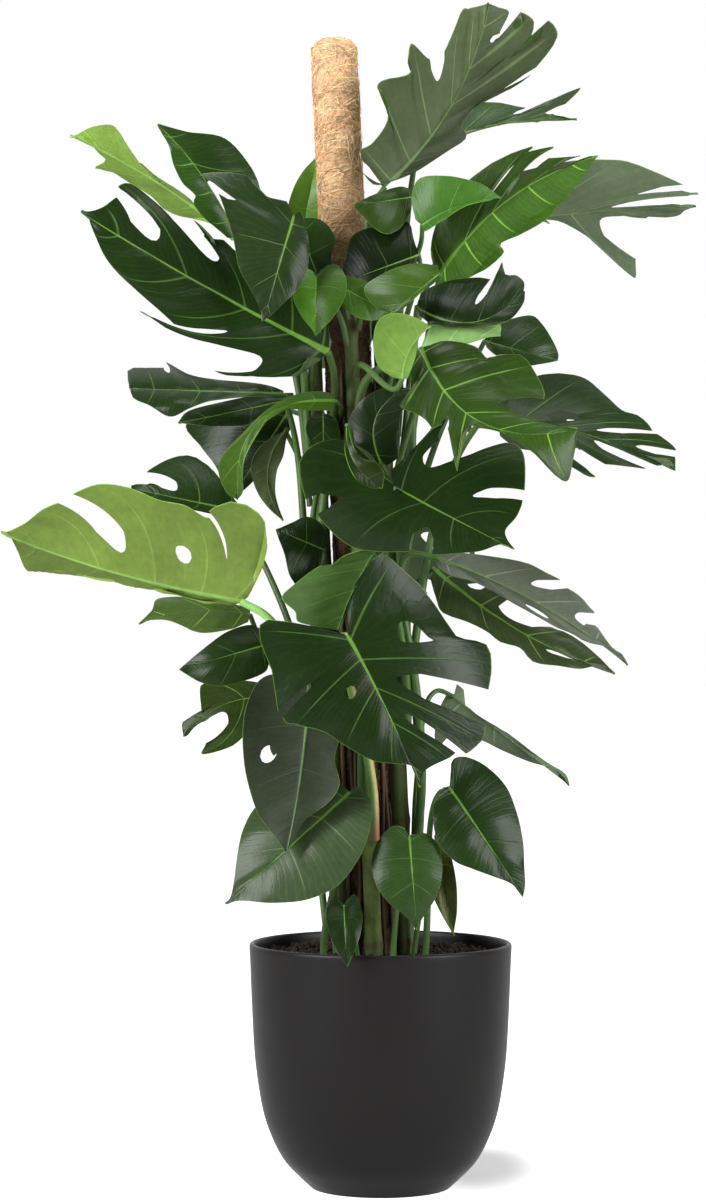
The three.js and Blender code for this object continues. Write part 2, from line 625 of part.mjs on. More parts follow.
// Each leaf: its stalk's foot (a stem and a height on it, or a place in the soil) and bearing, the
// blade's joint and tip as [x, z, depth] on the reading plane, the way its upper face looks as
// [yaw, pitch] in degrees, the half widths, and the cuts of each half from base to tip. Fold and curl
// are the rise and the bend of each half in degrees, arch and sway the bow of the midrib up and to the
// right, spread and bow the run of the side veins, deep the lift of each half's margin toward the back.
const LEAVES = {
  // Crown
  top: {
    stem: "right", from: 860, bearing: 350, bend: 0.3, arrive: [0.7, -0.1], joint: [5, 1162, -36],
    tip: [125, 1374, -30], face: [200, 25], fold: [10, 8], curl: [45, 40], sway: -22, spread: 1.3,
    bow: 0.02, left: "--ssS", right: "--s--", color: "under",
  },
  crown_right: {
    stem: "right", from: 880, bearing: 50, joint: [40, 1195, 46], tip: [226, 1241, 50], face: [10, 40],
    fold: [5, 5], curl: [40, 40], sway: -22, spread: 1.3, bow: 0.02, left: "-ss", right: "---",
    color: "dark",
  },
  fingered_right: {
    stem: "right", from: 740, bearing: -38, stalk: 3, joint: [68, 1060, -36], tip: [250, 1198, -65],
    face: [0, 0], fold: [0, 0], curl: [20, 25], sway: -22, spread: 1.3, bow: 0.13, deep: [0, -25],
    left: "-SSS", right: "----", color: "dark",
  },
  far_right: {
    stem: "right", from: 800, bearing: 12, arrive: [0.8, -0.2], joint: [140, 1122, 0],
    tip: [363, 1140, -5], face: [185, 30], fold: [5, 10], curl: [45, 20], sway: 4, spread: 1.5,
    bow: 0.06, left: "-DD-", right: "-sD-", color: "under",
  },
  crown_left: {
    stem: "left", from: 860, bearing: 165, lean: 0.02, rise: 0.7, arrive: [0.8, -0.2],
    joint: [-165, 1100, 58], tip: [-357, 1222, 50], face: [170, 10], fold: [25, 30], curl: [25, 25],
    sway: -8, spread: 1.3, bow: 0.02, deep: [20, 20], left: "---", right: "---", color: "light",
  },
  crown_left_dark: {
    stem: "left", from: 830, bearing: 192, lean: 0.02, rise: 0.7, stalk: 2.8, joint: [-165, 1105, -6],
    tip: [-256, 1234, -6], face: [0, 20], fold: [20, 5], curl: [20, 35], sway: 8, spread: 1, bow: 0.13,
    left: "---", right: "-D-", color: "dark",
  },
  hanging_left: {
    stem: "left", from: 800, bearing: 222, lean: 0.05, rise: 0.8, bend: 0.25, arrive: [0.1, 0.9],
    joint: [-100, 1128, -124], tip: [-135, 1008, -150], face: [6, 10], fold: [5, 10], curl: [40, 55],
    spread: 1.3, bow: 0.02, left: "---", right: "s--", color: "dark",
  },
  crown_slip: {
    stem: "back", from: 900, bearing: 170, stalk: 2.6, joint: [-88, 1118, 48], tip: [-72, 1199, 58],
    face: [0, 10], width: [22, 20], fold: [20, 20], curl: [10, 10], left: "--", right: "--",
    color: "light",
  },
  crown_young: {
    stem: "right", from: 900, bearing: 280, rise: 0.65, stalk: 2.6, joint: [48, 1118, -76],
    tip: [140, 1150, -82], face: [0, 20], fold: [20, 70], curl: [30, 10], sway: -8, bow: 0.02,
    left: "--", right: "--", color: "light",
  },
  crown_centre: {
    stem: "right", from: 960, bearing: 262, stalk: 2.4, joint: [34, 1150, -46], tip: [-31, 1141, -52],
    face: [0, 30], fold: [15, 15], curl: [30, 30], bow: 0.02, left: "--", right: "--", color: "light",
  },
  crown_dark: {
    stem: "right", from: 840, bearing: 262, bend: 0.25, stalk: 2.6, joint: [44, 1084, -80],
    tip: [-44, 1052, -82], face: [0, 20], fold: [5, 5], curl: [30, 30], spread: 1.3, bow: 0.02,
    left: "--", right: "--", color: "dark",
  },
  crown_round: {
    stem: "left", from: 900, bearing: 238, lean: 0.05, stalk: 2.6, joint: [-74, 1064, -40],
    tip: [-96, 1124, -46], face: [-5, 5], fold: [5, 5], curl: [25, 25], bow: 0.02, left: "--", right: "--",
    color: "dark",
  },

  // Upper middle
  great_left: {
    stem: "left", from: 620, bearing: 238, stalk: 4, joint: [-60, 972, -92], tip: [-345, 1133, -110],
    face: [-8, 22], fold: [12, 12], curl: [45, 40], sway: -4, spread: 1.6, bow: 0.2, left: "SS--",
    right: "-sSD", color: "dark",
  },
  folded_young: {
    stem: "front", from: 990, bearing: 258, bend: 0.42, arrive: [0.5, 0.8], stalk: 2.6,
    joint: [-74, 1058, -112], tip: [-74, 992, -122], face: [0, 10], width: [35, 28], fold: [20, 20],
    curl: [20, 30], left: "--", right: "--", color: "light",
  },
  folded_centre: {
    stem: "front", from: 960, bearing: 248, bend: 0.4, stalk: 2.4, joint: [-62, 1056, -98],
    tip: [12, 1017, -99], face: [0, 20], fold: [10, 10], curl: [20, 20], bow: 0.02, left: "--",
    right: "--", color: "light",
  },
  bright_centre: {
    stem: "front", from: 978, bearing: 304, arrive: [-0.3, 0.9], stalk: 2.6, joint: [68, 1062, -122],
    tip: [12, 1018, -128], face: [0, 30], fold: [12, 12], curl: [15, 15], bow: 0.02, left: "--",
    right: "--", color: "light",
  },
  glossy_right: {
    stem: "right", from: 700, bearing: 320, stalk: 3, joint: [42, 1024, -94], tip: [165, 1042, -102],
    face: [0, 25], fold: [10, 10], curl: [45, 45], sway: 30, spread: 1.3, bow: 0.02, left: "-S-",
    right: "---", color: "dark",
  },
  glossy_bright: {
    stem: "right", from: 770, bearing: 290, arrive: [0.2, 0.6], stalk: 3, joint: [44, 972, -104],
    tip: [138, 992, -112], face: [5, 35], fold: [10, 10], curl: [40, 40], sway: -4, bow: 0.02,
    left: "--", right: "--", color: "mid",
  },
  young_front: {
    stem: "front", from: 926, bearing: 282, lean: 0.3, rise: 0.3, bend: 0.3, arrive: [0.5, -0.6],
    stalk: 2.8, joint: [25, 941, -190], tip: [58, 1002, -192], face: [180, 10], fold: [20, 20],
    curl: [30, 30], sway: 8, bow: 0.02, left: "--", right: "--", color: "light",
  },
  sweeping_right: {
    stem: "front", from: 890, bearing: 290, arrive: [0, 0.8], stalk: 3.6, joint: [47, 975, -152],
    tip: [226, 884, -164], face: [5, 22], fold: [12, 12], curl: [40, 45], sway: 46, spread: 1.7,
    left: "--s--", right: "s-ss-", color: "dark",
  },
  round_right: {
    stem: "right", from: 700, bearing: 345, stalk: 2.8, joint: [120, 985, 30], tip: [203, 962, 28],
    face: [5, 30], fold: [10, 10], curl: [40, 40], left: "--", right: "--", color: "dark",
  },
  star_right: {
    stem: "right", from: 560, bearing: 330, stalk: 3.4, joint: [120, 900, -60], tip: [338, 836, -80],
    face: [5, 42], fold: [8, 8], curl: [35, 40], sway: -16, spread: 1.4, bow: 0.05, left: "-oDD",
    right: "-DD-", color: "dark",
  },
  pleated_left: {
    stem: "left", from: 650, bearing: 192, stalk: 3.2, joint: [-112, 924, -14], tip: [-288, 930, -20],
    face: [-5, 55], fold: [10, 10], curl: [40, 40], spread: 1.3, bow: 0.02, left: "---", right: "--s",
    color: "dark",
  },
  dusky_left: {
    stem: "left", from: 680, bearing: 150, arrive: [0.9, 0.3], stalk: 3, joint: [-100, 918, 82],
    tip: [-232, 890, 80], face: [0, 40], fold: [10, 10], curl: [40, 40], left: "--", right: "--",
    color: "dark",
  },
  shaded_left: {
    stem: "back", from: 560, bearing: 150, stalk: 3, joint: [-105, 905, 116], tip: [-172, 804, 124],
    face: [-10, 20], fold: [5, 10], curl: [30, 40], left: "--", right: "--", color: "dark",
  },
  hanging_young: {
    stem: "left", from: 710, bearing: 215, stalk: 2.4, joint: [-52, 916, -66], tip: [-165, 803, -74],
    face: [0, 5], fold: [10, 10], curl: [10, 10], sway: 45, spread: 1.3, bow: 0.02, left: "--",
    right: "--", color: "light",
  },
  small_centre: {
    stem: "front", from: 800, bearing: 215, stalk: 2.2, joint: [-66, 902, -50], tip: [-66, 843, -54],
    face: [0, 10], fold: [8, 8], curl: [15, 15], bow: 0.02, left: "--", right: "--", color: "dark",
  },
  hanging_grey: {
    stem: "left", from: 780, bearing: 172, arrive: [-0.3, -0.6], stalk: 2.4, joint: [-108, 884, 28],
    tip: [-112, 778, 32], face: [180, 5], fold: [5, 5], curl: [20, 20], sway: -20, spread: 1.3,
    bow: 0.02, left: "--", right: "--", color: "under",
  },
  claw_left: {
    stem: "left", from: 500, bearing: 172, stalk: 3, joint: [-165, 790, 48], tip: [-287, 815, 58],
    face: [-10, 30], fold: [5, 10], curl: [20, 30], bow: 0.35, left: "--", right: "-D", color: "dark",
  },
  round_centre: {
    stem: "front", from: 610, bearing: 240, stalk: 3, joint: [0, 846, -74], tip: [30, 931, -80],
    face: [0, 25], fold: [8, 8], curl: [45, 45], arch: 0, sway: -22, spread: 1.3, bow: 0.02,
    left: "---", right: "---", color: "dark",
  },
  unfurling: {
    stem: "front", from: 790, bearing: 250, stalk: 2.2, joint: [-39, 888, -128], tip: [2, 816, -150],
    face: [0, 10], fold: [25, 25], curl: [10, 10], sway: 13, spread: 1.3, bow: 0.02, left: "--", right: "--",
    color: "light",
  },
  wide_centre: {
    stem: "right", from: 500, bearing: 308, stalk: 3.4, joint: [18, 815, -126], tip: [153, 745, -138],
    face: [0, 14], fold: [8, 5], curl: [40, 40], arch: 0, bow: 0.2, left: "SS-", right: "sS-",
    color: "dark",
  },

  // Lower middle
  great_pale_left: {
    stem: "left", from: 345, bearing: 208, bend: 0.25, arrive: [0.8, 0.2], stalk: 4.2,
    joint: [-160, 685, -78], tip: [-436, 764, -92], face: [172, 15], fold: [8, 0], curl: [30, 30],
    sway: 8, bow: 0.3, deep: [0, 50], left: "liD-", right: "----", color: "under",
  },
  small_left: {
    stem: "left", from: 430, bearing: 190, stalk: 2.8, joint: [-150, 670, 12], tip: [-278, 660, 4],
    face: [0, 45], fold: [8, 8], curl: [40, 40], sway: 14, bow: 0.02, left: "--", right: "--",
    color: "dark",
  },
  low_left: {
    stem: "left", from: 390, bearing: 197, stalk: 2.8, joint: [-130, 636, -30], tip: [-231, 607, -38],
    face: [0, 30], fold: [8, 8], curl: [40, 40], left: "--", right: "--", color: "dark",
  },
  low_left_back: {
    stem: "left", from: 280, bearing: 165, stalk: 2.8, joint: [-100, 565, 25], tip: [-225, 530, 25],
    face: [-5, 30], fold: [8, 8], curl: [40, 40], sway: 28, spread: 1.3, bow: 0.3, left: "SD",
    right: "-s", color: "dark",
  },
  shaded_centre: {
    stem: "left", from: 545, bearing: 242, stalk: 2.8, joint: [-66, 745, -62], tip: [-120, 768, -66],
    face: [0, 20], fold: [5, 5], curl: [20, 20], bow: 0.02, left: "--", right: "--", color: "dark",
  },
  pale_centre: {
    stem: "front", from: 430, bearing: 240, arrive: [0.3, -0.6], stalk: 3, joint: [-3, 748, -106],
    tip: [-49, 652, -112], face: [180, 15], fold: [8, 12], curl: [35, 35], sway: -4, spread: 1.3,
    bow: 0.02, left: "---", right: "---", color: "under",
  },
  great_centre: {
    stem: "front", from: 400, bearing: 288, stalk: 4, joint: [-38, 646, -148], tip: [45, 472, -158],
    face: [5, 22], fold: [10, 10], curl: [42, 45], sway: -4, left: "IDD-", right: "li--", color: "dark",
  },
  pale_right: {
    stem: "right", from: 380, bearing: 330, arrive: [0.7, -0.3], stalk: 3.6, joint: [65, 735, -35],
    tip: [284, 612, -48], face: [180, 20], fold: [8, 8], curl: [30, 30], sway: 12, bow: 0.02,
    left: "-I-", right: "-SS", color: "under",
  },
  shaded_right: {
    stem: "right", from: 360, bearing: 10, stalk: 3, joint: [62, 723, 18], tip: [269, 602, 22],
    face: [0, 40], fold: [8, 8], curl: [40, 40], sway: 16, spread: 1.3, left: "SD-", right: "--o",
    color: "dark",
  },
  narrow_right: {
    stem: "right", from: 400, bearing: 10, arrive: [0.8, -0.2], stalk: 2.6, joint: [84, 576, 30],
    tip: [217, 474, 30], face: [180, 10], fold: [15, 15], curl: [10, 10], bow: 0.02, left: "--", right: "--",
    color: "under",
  },

  // Young leaves round the foot
  hanging_slit: {
    stem: "left", from: 300, bearing: 245, arrive: [-0.2, -0.7], stalk: 3.2, joint: [-82, 588, -122],
    tip: [-108, 397, -138], face: [172, 0], fold: [8, 8], curl: [30, 30], sway: 4, left: "-I-",
    right: "---", color: "under",
  },
  heart_left: {
    from: [-65, -40, 245], bearing: 235, stalk: 2.8, joint: [-35, 465, -92], tip: [-178, 338, -108],
    face: [-10, 30], fold: [10, 10], curl: [40, 40], left: "---", right: "---", color: "mid",
  },
  heart_right: {
    from: [48, -50, 245], bearing: 320, stalk: 2.8, joint: [80, 471, -95], tip: [164, 347, -108],
    face: [12, 25], fold: [12, 10], curl: [35, 40], left: "---", right: "---", color: "mid",
  },
  heart_front: {
    from: [12, -66, 245], bearing: 285, stalk: 2.4, joint: [33, 415, -108], tip: [42, 308, -120],
    face: [0, 25], fold: [10, 10], curl: [40, 40], left: "---", right: "---", color: "dark",
  },
  over_rim: {
    from: [-24, -70, 245], bearing: 250, joint: [-42, 335, -140], tip: [-38, 266, -164],
    face: [-5, 35], width: [20, 20], fold: [12, 12], curl: [30, 30], left: "--", right: "--",
    color: "mid", stalk: 1.8,
  },
  old_sheath: {
    from: [36, -22, 245], bearing: 300, stalk: 2.2, joint: [62, 400, -68], tip: [84, 301, -90],
    face: [0, 10], width: [20, 18], fold: [30, 30], curl: [-20, 20], left: "--", right: "--",
    color: "old",
  },

  // Far side
  back_high: {
    stem: "back", from: 780, bearing: 80, joint: [-40, 1060, 130], tip: [-130, 960, 260],
    face: [165, 40], width: [80, 84], left: "oSSs", right: "-SSs", color: "dark", stalk: 3.4,
  },
  back_right: {
    stem: "back", from: 640, bearing: 45, joint: [90, 930, 152], tip: [230, 860, 245], face: [140, 45],
    width: [84, 80], left: "-SDs", right: "oSDs", color: "dark",
  },
  back_middle: {
    stem: "back", from: 480, bearing: 84, joint: [34, 800, 156], tip: [16, 680, 268], face: [175, 40],
    width: [90, 92], left: "oSDs", right: "-SDs", color: "dark",
  },
  back_low: {
    stem: "back", from: 330, bearing: 115, joint: [-50, 600, 120], tip: [-90, 480, 220],
    face: [190, 35], width: [70, 70], left: "-SSs", right: "-SSs", color: "dark",
  },
};

// The margins of the leaves that show whole, read on the reading plane from the base to the tip: the
// left half, then the right. Each place is [lobe, x, z], where the cuts stand at whole lobes.
const MARGINS = {
  great_centre: [
    [
      [0, -37, 664], [0.15, -32, 700], [0.3, -12, 731], [0.42, 2, 740], [0.57, 25, 721], [0.75, 52, 696],
      [0.9, 73, 665], [1, 86, 645], [1.3, 122, 636], [1.55, 129, 608], [1.73, 126, 583], [2.27, 125, 539],
      [2.5, 119, 525], [2.73, 101, 509], [3.27, 90, 509], [3.5, 80, 505], [4, 58, 496], [4.5, 48, 487],
    ],
    [
      [0, -60, 653], [0.3, -130, 664], [0.6, -139, 640], [0.8, -126, 605], [1, -117, 551],
      [1.5, -97, 543], [2, -67, 536], [2.5, -40, 519], [3, -10, 503], [3.5, 14, 499], [4, 34, 497],
      [4.5, 42, 486],
    ],
  ],
  wide_centre: [
    [
      [0, 14, 838], [0.5, 76, 896], [0.78, 70, 872], [1.22, 150, 868], [1.5, 166, 854], [1.78, 168, 813],
      [2.22, 168, 801], [2.5, 158, 784], [3, 144, 768], [3.5, 146, 756],
    ],
    [
      [0, 4, 832], [0.25, -42, 872], [0.6, -93, 850], [0.9, -86, 792], [1.15, -79, 783], [1.5, -32, 746],
      [1.8, 36, 741], [2.2, 60, 737], [2.5, 85, 740], [3, 115, 743], [3.5, 138, 750],
    ],
  ],
  great_left: [
    [
      [0, -84, 966], [0.3, -104, 944], [0.5, -150, 944], [0.78, -194, 951], [1.22, -255, 1004],
      [1.5, -280, 1020], [1.78, -262, 1012], [2.22, -243, 1006], [2.5, -256, 1021], [3, -280, 1043],
      [3.5, -300, 1062], [4, -318, 1085], [4.5, -329, 1108], [4.8, -338, 1127],
    ],
    [
      [0, -58, 990], [0.5, -72, 1035], [1.5, -125, 1090], [1.84, -160, 1104], [2.16, -184, 1106],
      [2.45, -200, 1108], [2.6, -216, 1126], [2.78, -204, 1108], [3.22, -276, 1158], [3.4, -293, 1167],
      [3.6, -304, 1162], [3.73, -292, 1162], [4.27, -306, 1152], [4.5, -318, 1141], [4.75, -332, 1135],
    ],
  ],
  great_pale_left: [
    [
      [0, -150, 700], [0.2, -141, 730], [0.4, -134, 760], [0.5, -134, 776], [0.65, -150, 793],
      [0.8, -175, 800], [0.92, -196, 793], [1.08, -202, 785], [1.5, -226, 798], [2, -256, 803],
      [2.3, -290, 816], [2.55, -328, 820], [2.73, -356, 811], [3.27, -376, 801], [3.5, -390, 791],
      [4, -407, 776], [4.5, -424, 768],
    ],
    [
      [0, -172, 683], [0.5, -182, 684], [1, -205, 687], [1.5, -228, 693], [2, -258, 701],
      [2.5, -295, 710], [3, -330, 716], [3.5, -368, 721], [4, -400, 722], [4.3, -409, 727],
      [4.6, -417, 744], [4.85, -426, 760],
    ],
  ],
  top: [
    [
      [0, -24, 1180], [0.4, -4, 1163], [1, 40, 1180], [1.5, 78, 1204], [1.85, 98, 1219], [2.2, 95, 1238],
      [2.5, 125, 1266], [2.84, 174, 1293], [3.16, 184, 1303], [3.45, 206, 1338], [3.65, 194, 1356],
      [3.84, 182, 1336], [4.16, 174, 1330], [4.45, 178, 1354], [4.6, 163, 1364], [4.78, 163, 1350],
      [5.22, 138, 1340], [5.45, 149, 1363], [5.7, 137, 1369],
    ],
    [
      [0, -18, 1192], [0.4, -24, 1205], [0.7, -10, 1212], [1, 6, 1232], [1.2, 10, 1250], [1.5, -2, 1280],
      [2, 32, 1294], [2.3, 30, 1312], [2.5, 36, 1328], [2.84, 57, 1311], [3.16, 76, 1322],
      [3.5, 91, 1364], [4, 100, 1368], [5, 114, 1371],
    ],
  ],
  far_right: [
    [
      [0, 142, 1110], [0.5, 152, 1113], [1, 168, 1119], [1.5, 182, 1122], [1.73, 196, 1122],
      [2.27, 277, 1079], [2.5, 294, 1056], [2.73, 295, 1078], [3.27, 308, 1126], [3.6, 330, 1127],
      [3.9, 343, 1130], [4.3, 350, 1136], [4.7, 358, 1139],
    ],
    [
      [0, 142, 1135], [0.4, 150, 1172], [0.8, 180, 1184], [1.1, 222, 1193], [1.4, 262, 1193],
      [1.6, 292, 1189], [1.84, 351, 1166], [2.16, 354, 1159], [2.4, 370, 1154], [2.73, 356, 1152],
      [3.27, 345, 1141], [3.6, 352, 1140], [4.2, 358, 1140],
    ],
  ],
  fingered_right: [
    [
      [0, 62, 1068], [0.5, 60, 1108], [1, 88, 1158], [1.3, 128, 1190], [1.55, 176, 1209],
      [1.78, 162, 1201], [2.22, 170, 1204], [2.5, 200, 1210], [2.78, 186, 1202], [3.22, 196, 1197],
      [3.5, 231, 1198], [3.78, 214, 1194], [4.22, 214, 1185], [4.5, 236, 1198],
    ],
    [
      [0, 62, 1044], [0.5, 78, 1047], [1, 100, 1058], [1.5, 122, 1068], [1.9, 142, 1087],
      [2.15, 138, 1097], [2.5, 160, 1107], [3, 188, 1123], [3.5, 204, 1140], [4, 222, 1160],
      [4.5, 238, 1180],
    ],
  ],
  sweeping_right: [
    [
      [0, 50, 978], [0.5, 75, 984], [1, 108, 979], [1.5, 122, 966], [2, 132, 966], [2.3, 160, 970],
      [2.6, 180, 948], [2.84, 190, 919], [3.16, 152, 906], [4, 172, 896], [5, 200, 888], [5.5, 214, 886],
    ],
    [
      [0, 40, 972], [0.5, 34, 950], [0.84, 40, 926], [1.16, 34, 915], [1.4, 22, 909], [1.75, 45, 899],
      [2.2, 54, 892], [2.5, 60, 885], [2.84, 70, 889], [3.16, 78, 884], [3.5, 88, 834], [3.84, 94, 878],
      [4.16, 112, 885], [4.5, 145, 877], [5, 178, 855], [5.5, 213, 824], [5.8, 225, 862],
    ],
  ],
  star_right: [
    [
      [0, 134, 912], [0.5, 148, 930], [1, 165, 942], [1.25, 198, 947], [1.5, 234, 942], [1.75, 257, 923],
      [2, 277, 905], [2.3, 296, 900], [2.5, 308, 891], [2.73, 315, 883], [3.27, 322, 879],
      [3.5, 336, 868], [3.73, 342, 861], [4.27, 341, 853], [4.5, 340, 850], [4.8, 339, 843],
    ],
    [
      [0, 128, 896], [0.5, 160, 874], [1, 195, 855], [1.5, 235, 832], [1.73, 249, 829], [2.27, 262, 841],
      [2.5, 290, 838], [2.73, 306, 836], [3.27, 312, 846], [3.5, 321, 841], [4, 329, 847],
      [4.5, 333, 845], [4.8, 336, 840],
    ],
  ],
  pale_right: [
    [
      [0, 66, 724], [0.5, 80, 715], [1, 112, 706], [1.4, 150, 684], [1.7, 178, 669], [2, 204, 655],
      [2.3, 222, 648], [2.6, 238, 639], [3, 252, 635], [3.5, 268, 628], [3.8, 278, 620],
    ],
    [
      [0, 64, 742], [0.5, 95, 741], [1, 130, 736], [1.4, 170, 730], [1.6, 192, 719], [1.78, 208, 711],
      [2.22, 218, 701], [2.4, 230, 692], [2.6, 241, 679], [2.78, 247, 672], [3.22, 238, 660],
      [3.4, 248, 658], [3.55, 256, 648], [3.7, 268, 632], [3.85, 280, 624],
    ],
  ],
  shaded_right: [
    [
      [0, 66, 722], [0.5, 85, 716], [0.78, 110, 706], [1.22, 124, 703], [1.5, 140, 693], [1.73, 148, 688],
      [2.27, 198, 656], [2.5, 212, 651], [3, 230, 641], [3.5, 250, 624], [3.8, 261, 612],
    ],
    [
      [0, 58, 712], [0.3, 64, 690], [0.7, 72, 672], [1, 100, 662], [1.4, 122, 651], [1.7, 138, 639],
      [2, 160, 632], [2.3, 175, 616], [2.7, 205, 610], [3, 228, 607], [3.4, 250, 612], [3.8, 262, 608],
    ],
  ],
  hanging_slit: [
    [
      [0, -95, 605], [0.5, -135, 598], [1, -153, 568], [1.5, -159, 535], [2, -157, 500],
      [2.5, -150, 468], [3, -140, 440], [3.5, -122, 416],
    ],
    [
      [0, -72, 602], [0.5, -45, 590], [1, -38, 560], [1.5, -46, 528], [2, -53, 503], [2.5, -48, 476],
      [3, -62, 453], [3.5, -90, 431],
    ],
  ],
  heart_left: [
    [
      [0, -28, 474], [0.5, -12, 458], [1, -12, 425], [1.5, -24, 392], [2, -48, 360], [2.5, -84, 343],
      [3, -125, 339], [3.6, -163, 342],
    ],
    [
      [0, -48, 478], [0.5, -80, 482], [1, -115, 470], [1.5, -142, 450], [2, -157, 422], [2.5, -165, 392],
      [3, -169, 364], [3.5, -172, 348],
    ],
  ],
  heart_right: [
    [
      [0, 82, 482], [0.4, 83, 503], [0.7, 98, 507], [1, 120, 497], [1.5, 145, 472], [2, 158, 440],
      [2.5, 164, 408], [3, 165, 382], [3.5, 166, 362],
    ],
    [
      [0, 72, 472], [0.5, 62, 455], [1, 61, 430], [1.5, 67, 407], [2, 85, 387], [2.5, 106, 378],
      [3, 130, 369], [3.5, 150, 361],
    ],
  ],
  heart_front: [
    [
      [0, 36, 418], [0.5, 52, 419], [1, 66, 406], [1.5, 71, 385], [2, 70, 364], [2.5, 63, 345],
      [3, 54, 331], [3.5, 46, 319],
    ],
    [
      [0, 28, 424], [0.5, 14, 427], [1, -3, 409], [1.5, -10, 386], [2, -5, 361], [2.5, 8, 341],
      [3, 24, 328], [3.5, 36, 317],
    ],
  ],
  pale_centre: [
    [
      [0, -16, 745], [0.5, -42, 738], [0.9, -62, 723], [1.1, -70, 726], [1.5, -95, 708], [2, -113, 690],
      [2.5, -98, 674], [3, -94, 662], [3.5, -68, 656],
    ],
    [
      [0, 2, 742], [0.5, -2, 730], [1, -12, 717], [1.5, -22, 706], [2, -30, 695], [2.5, -36, 680],
      [3, -40, 668], [3.5, -44, 658],
    ],
  ],
  round_centre: [
    [
      [0, -12, 843], [0.5, -32, 855], [1, -39, 872], [1.5, -36, 895], [2, -24, 914], [2.5, -8, 926],
      [3, 8, 931], [3.5, 20, 932],
    ],
    [
      [0, 8, 842], [0.5, 20, 852], [1, 23, 878], [1.5, 22, 898], [2, 30, 910], [2.5, 48, 914],
      [3, 46, 922], [3.5, 38, 928],
    ],
  ],
  crown_left: [
    [
      [0, -172, 1107], [0.5, -200, 1130], [1, -218, 1144], [1.5, -240, 1161], [2, -265, 1179],
      [2.4, -288, 1200], [2.6, -292, 1212], [2.75, -302, 1228], [3, -312, 1234], [3.3, -332, 1232],
      [3.7, -349, 1224],
    ],
    [
      [0, -170, 1101], [0.5, -198, 1124], [1, -222, 1127], [1.5, -248, 1138], [1.8, -262, 1151],
      [2.1, -290, 1166], [2.4, -312, 1180], [2.55, -329, 1184], [2.75, -316, 1192], [3, -324, 1200],
      [3.5, -343, 1218],
    ],
  ],
  crown_left_dark: [
    [
      [0, -176, 1104], [0.7, -204, 1128], [1.2, -215, 1144], [1.5, -213, 1153], [2, -228, 1168],
      [2.5, -238, 1188], [3, -243, 1208], [3.5, -251, 1224],
    ],
    [
      [0, -158, 1104], [0.7, -172, 1118], [1, -180, 1126], [1.4, -192, 1144], [1.73, -208, 1168],
      [2.27, -137, 1152], [2.5, -146, 1182], [3, -178, 1218], [3.5, -222, 1225],
    ],
  ],
  hanging_left: [
    [
      [0, -92, 1135], [0.5, -85, 1115], [1, -82, 1090], [1.5, -86, 1065], [2, -96, 1045],
      [2.5, -108, 1032], [3, -118, 1022], [3.5, -127, 1014],
    ],
    [
      [0, -108, 1146], [0.3, -138, 1154], [0.55, -158, 1177], [0.84, -210, 1177], [1.16, -190, 1156],
      [1.5, -172, 1110], [2, -163, 1070], [2.5, -150, 1045], [3, -142, 1030], [3.5, -137, 1018],
    ],
  ],
  crown_right: [
    [
      [0, 38, 1205], [0.5, 60, 1236], [1, 90, 1254], [1.5, 135, 1260], [1.84, 168, 1255],
      [2.16, 192, 1257], [2.5, 231, 1277], [2.84, 214, 1258], [3.16, 200, 1247], [3.5, 212, 1243],
    ],
    [
      [0, 42, 1185], [1, 70, 1205], [1.5, 98, 1226], [2, 125, 1231], [2.5, 152, 1237], [3, 185, 1238],
      [3.5, 207, 1239],
    ],
  ],
  pleated_left: [
    [
      [0, -112, 918], [1, -150, 920], [2, -195, 917], [2.5, -222, 906], [3, -243, 899], [3.5, -268, 912],
      [3.8, -284, 920],
    ],
    [
      [0, -112, 928], [1, -145, 935], [2, -190, 942], [2.5, -222, 948], [2.84, -247, 960],
      [3.16, -250, 954], [3.5, -268, 952], [3.8, -290, 950],
    ],
  ],
  dusky_left: [
    [
      [0, -104, 914], [1, -135, 900], [1.5, -152, 889], [2, -178, 887], [2.6, -215, 888],
    ],
    [
      [0, -100, 925], [1, -140, 922], [2, -190, 914], [2.6, -222, 903],
    ],
  ],
  claw_left: [
    [
      [0, -168, 785], [1, -200, 787], [2, -245, 798], [2.6, -275, 806],
    ],
    [
      [0, -166, 800], [0.5, -180, 817], [1, -200, 842], [1.3, -222, 853], [1.55, -248, 848],
      [1.73, -270, 834], [2.27, -266, 821], [2.6, -284, 820],
    ],
  ],
  small_left: [
    [
      [0, -152, 662], [0.5, -172, 653], [1, -200, 649], [1.5, -218, 653], [2, -242, 664],
      [2.5, -260, 665],
    ],
    [
      [0, -150, 678], [0.5, -172, 683], [1, -205, 686], [1.5, -232, 690], [2, -257, 688],
      [2.5, -263, 675],
    ],
  ],
  low_left: [
    [
      [0, -128, 625], [0.5, -132, 605], [1, -160, 593], [1.5, -185, 588], [2, -206, 592],
      [2.5, -222, 601],
    ],
    [
      [0, -132, 650], [0.5, -150, 658], [1, -175, 650], [1.5, -195, 637], [2, -212, 624],
      [2.5, -226, 612],
    ],
  ],
  low_left_back: [
    [
      [0, -98, 552], [0.5, -115, 538], [1, -150, 532], [1.27, -180, 515], [1.5, -206, 509],
      [1.73, -202, 522], [2.27, -206, 546], [2.6, -218, 541],
    ],
    [
      [0, -102, 580], [0.5, -140, 592], [1, -175, 594], [1.5, -207, 589], [1.8, -206, 558],
      [2.2, -212, 555], [2.6, -227, 546],
    ],
  ],
  shaded_left: [
    [
      [0, -100, 895], [1, -115, 860], [2, -145, 825], [2.6, -162, 810],
    ],
    [
      [0, -120, 912], [0.5, -170, 912], [1, -222, 890], [1.5, -206, 863], [2, -190, 842],
      [2.6, -178, 818],
    ],
  ],
  hanging_young: [
    [
      [0, -56, 906], [0.5, -84, 905], [0.9, -110, 906], [1.2, -130, 894], [1.6, -150, 868],
      [2, -158, 845], [2.6, -158, 812],
    ],
    [
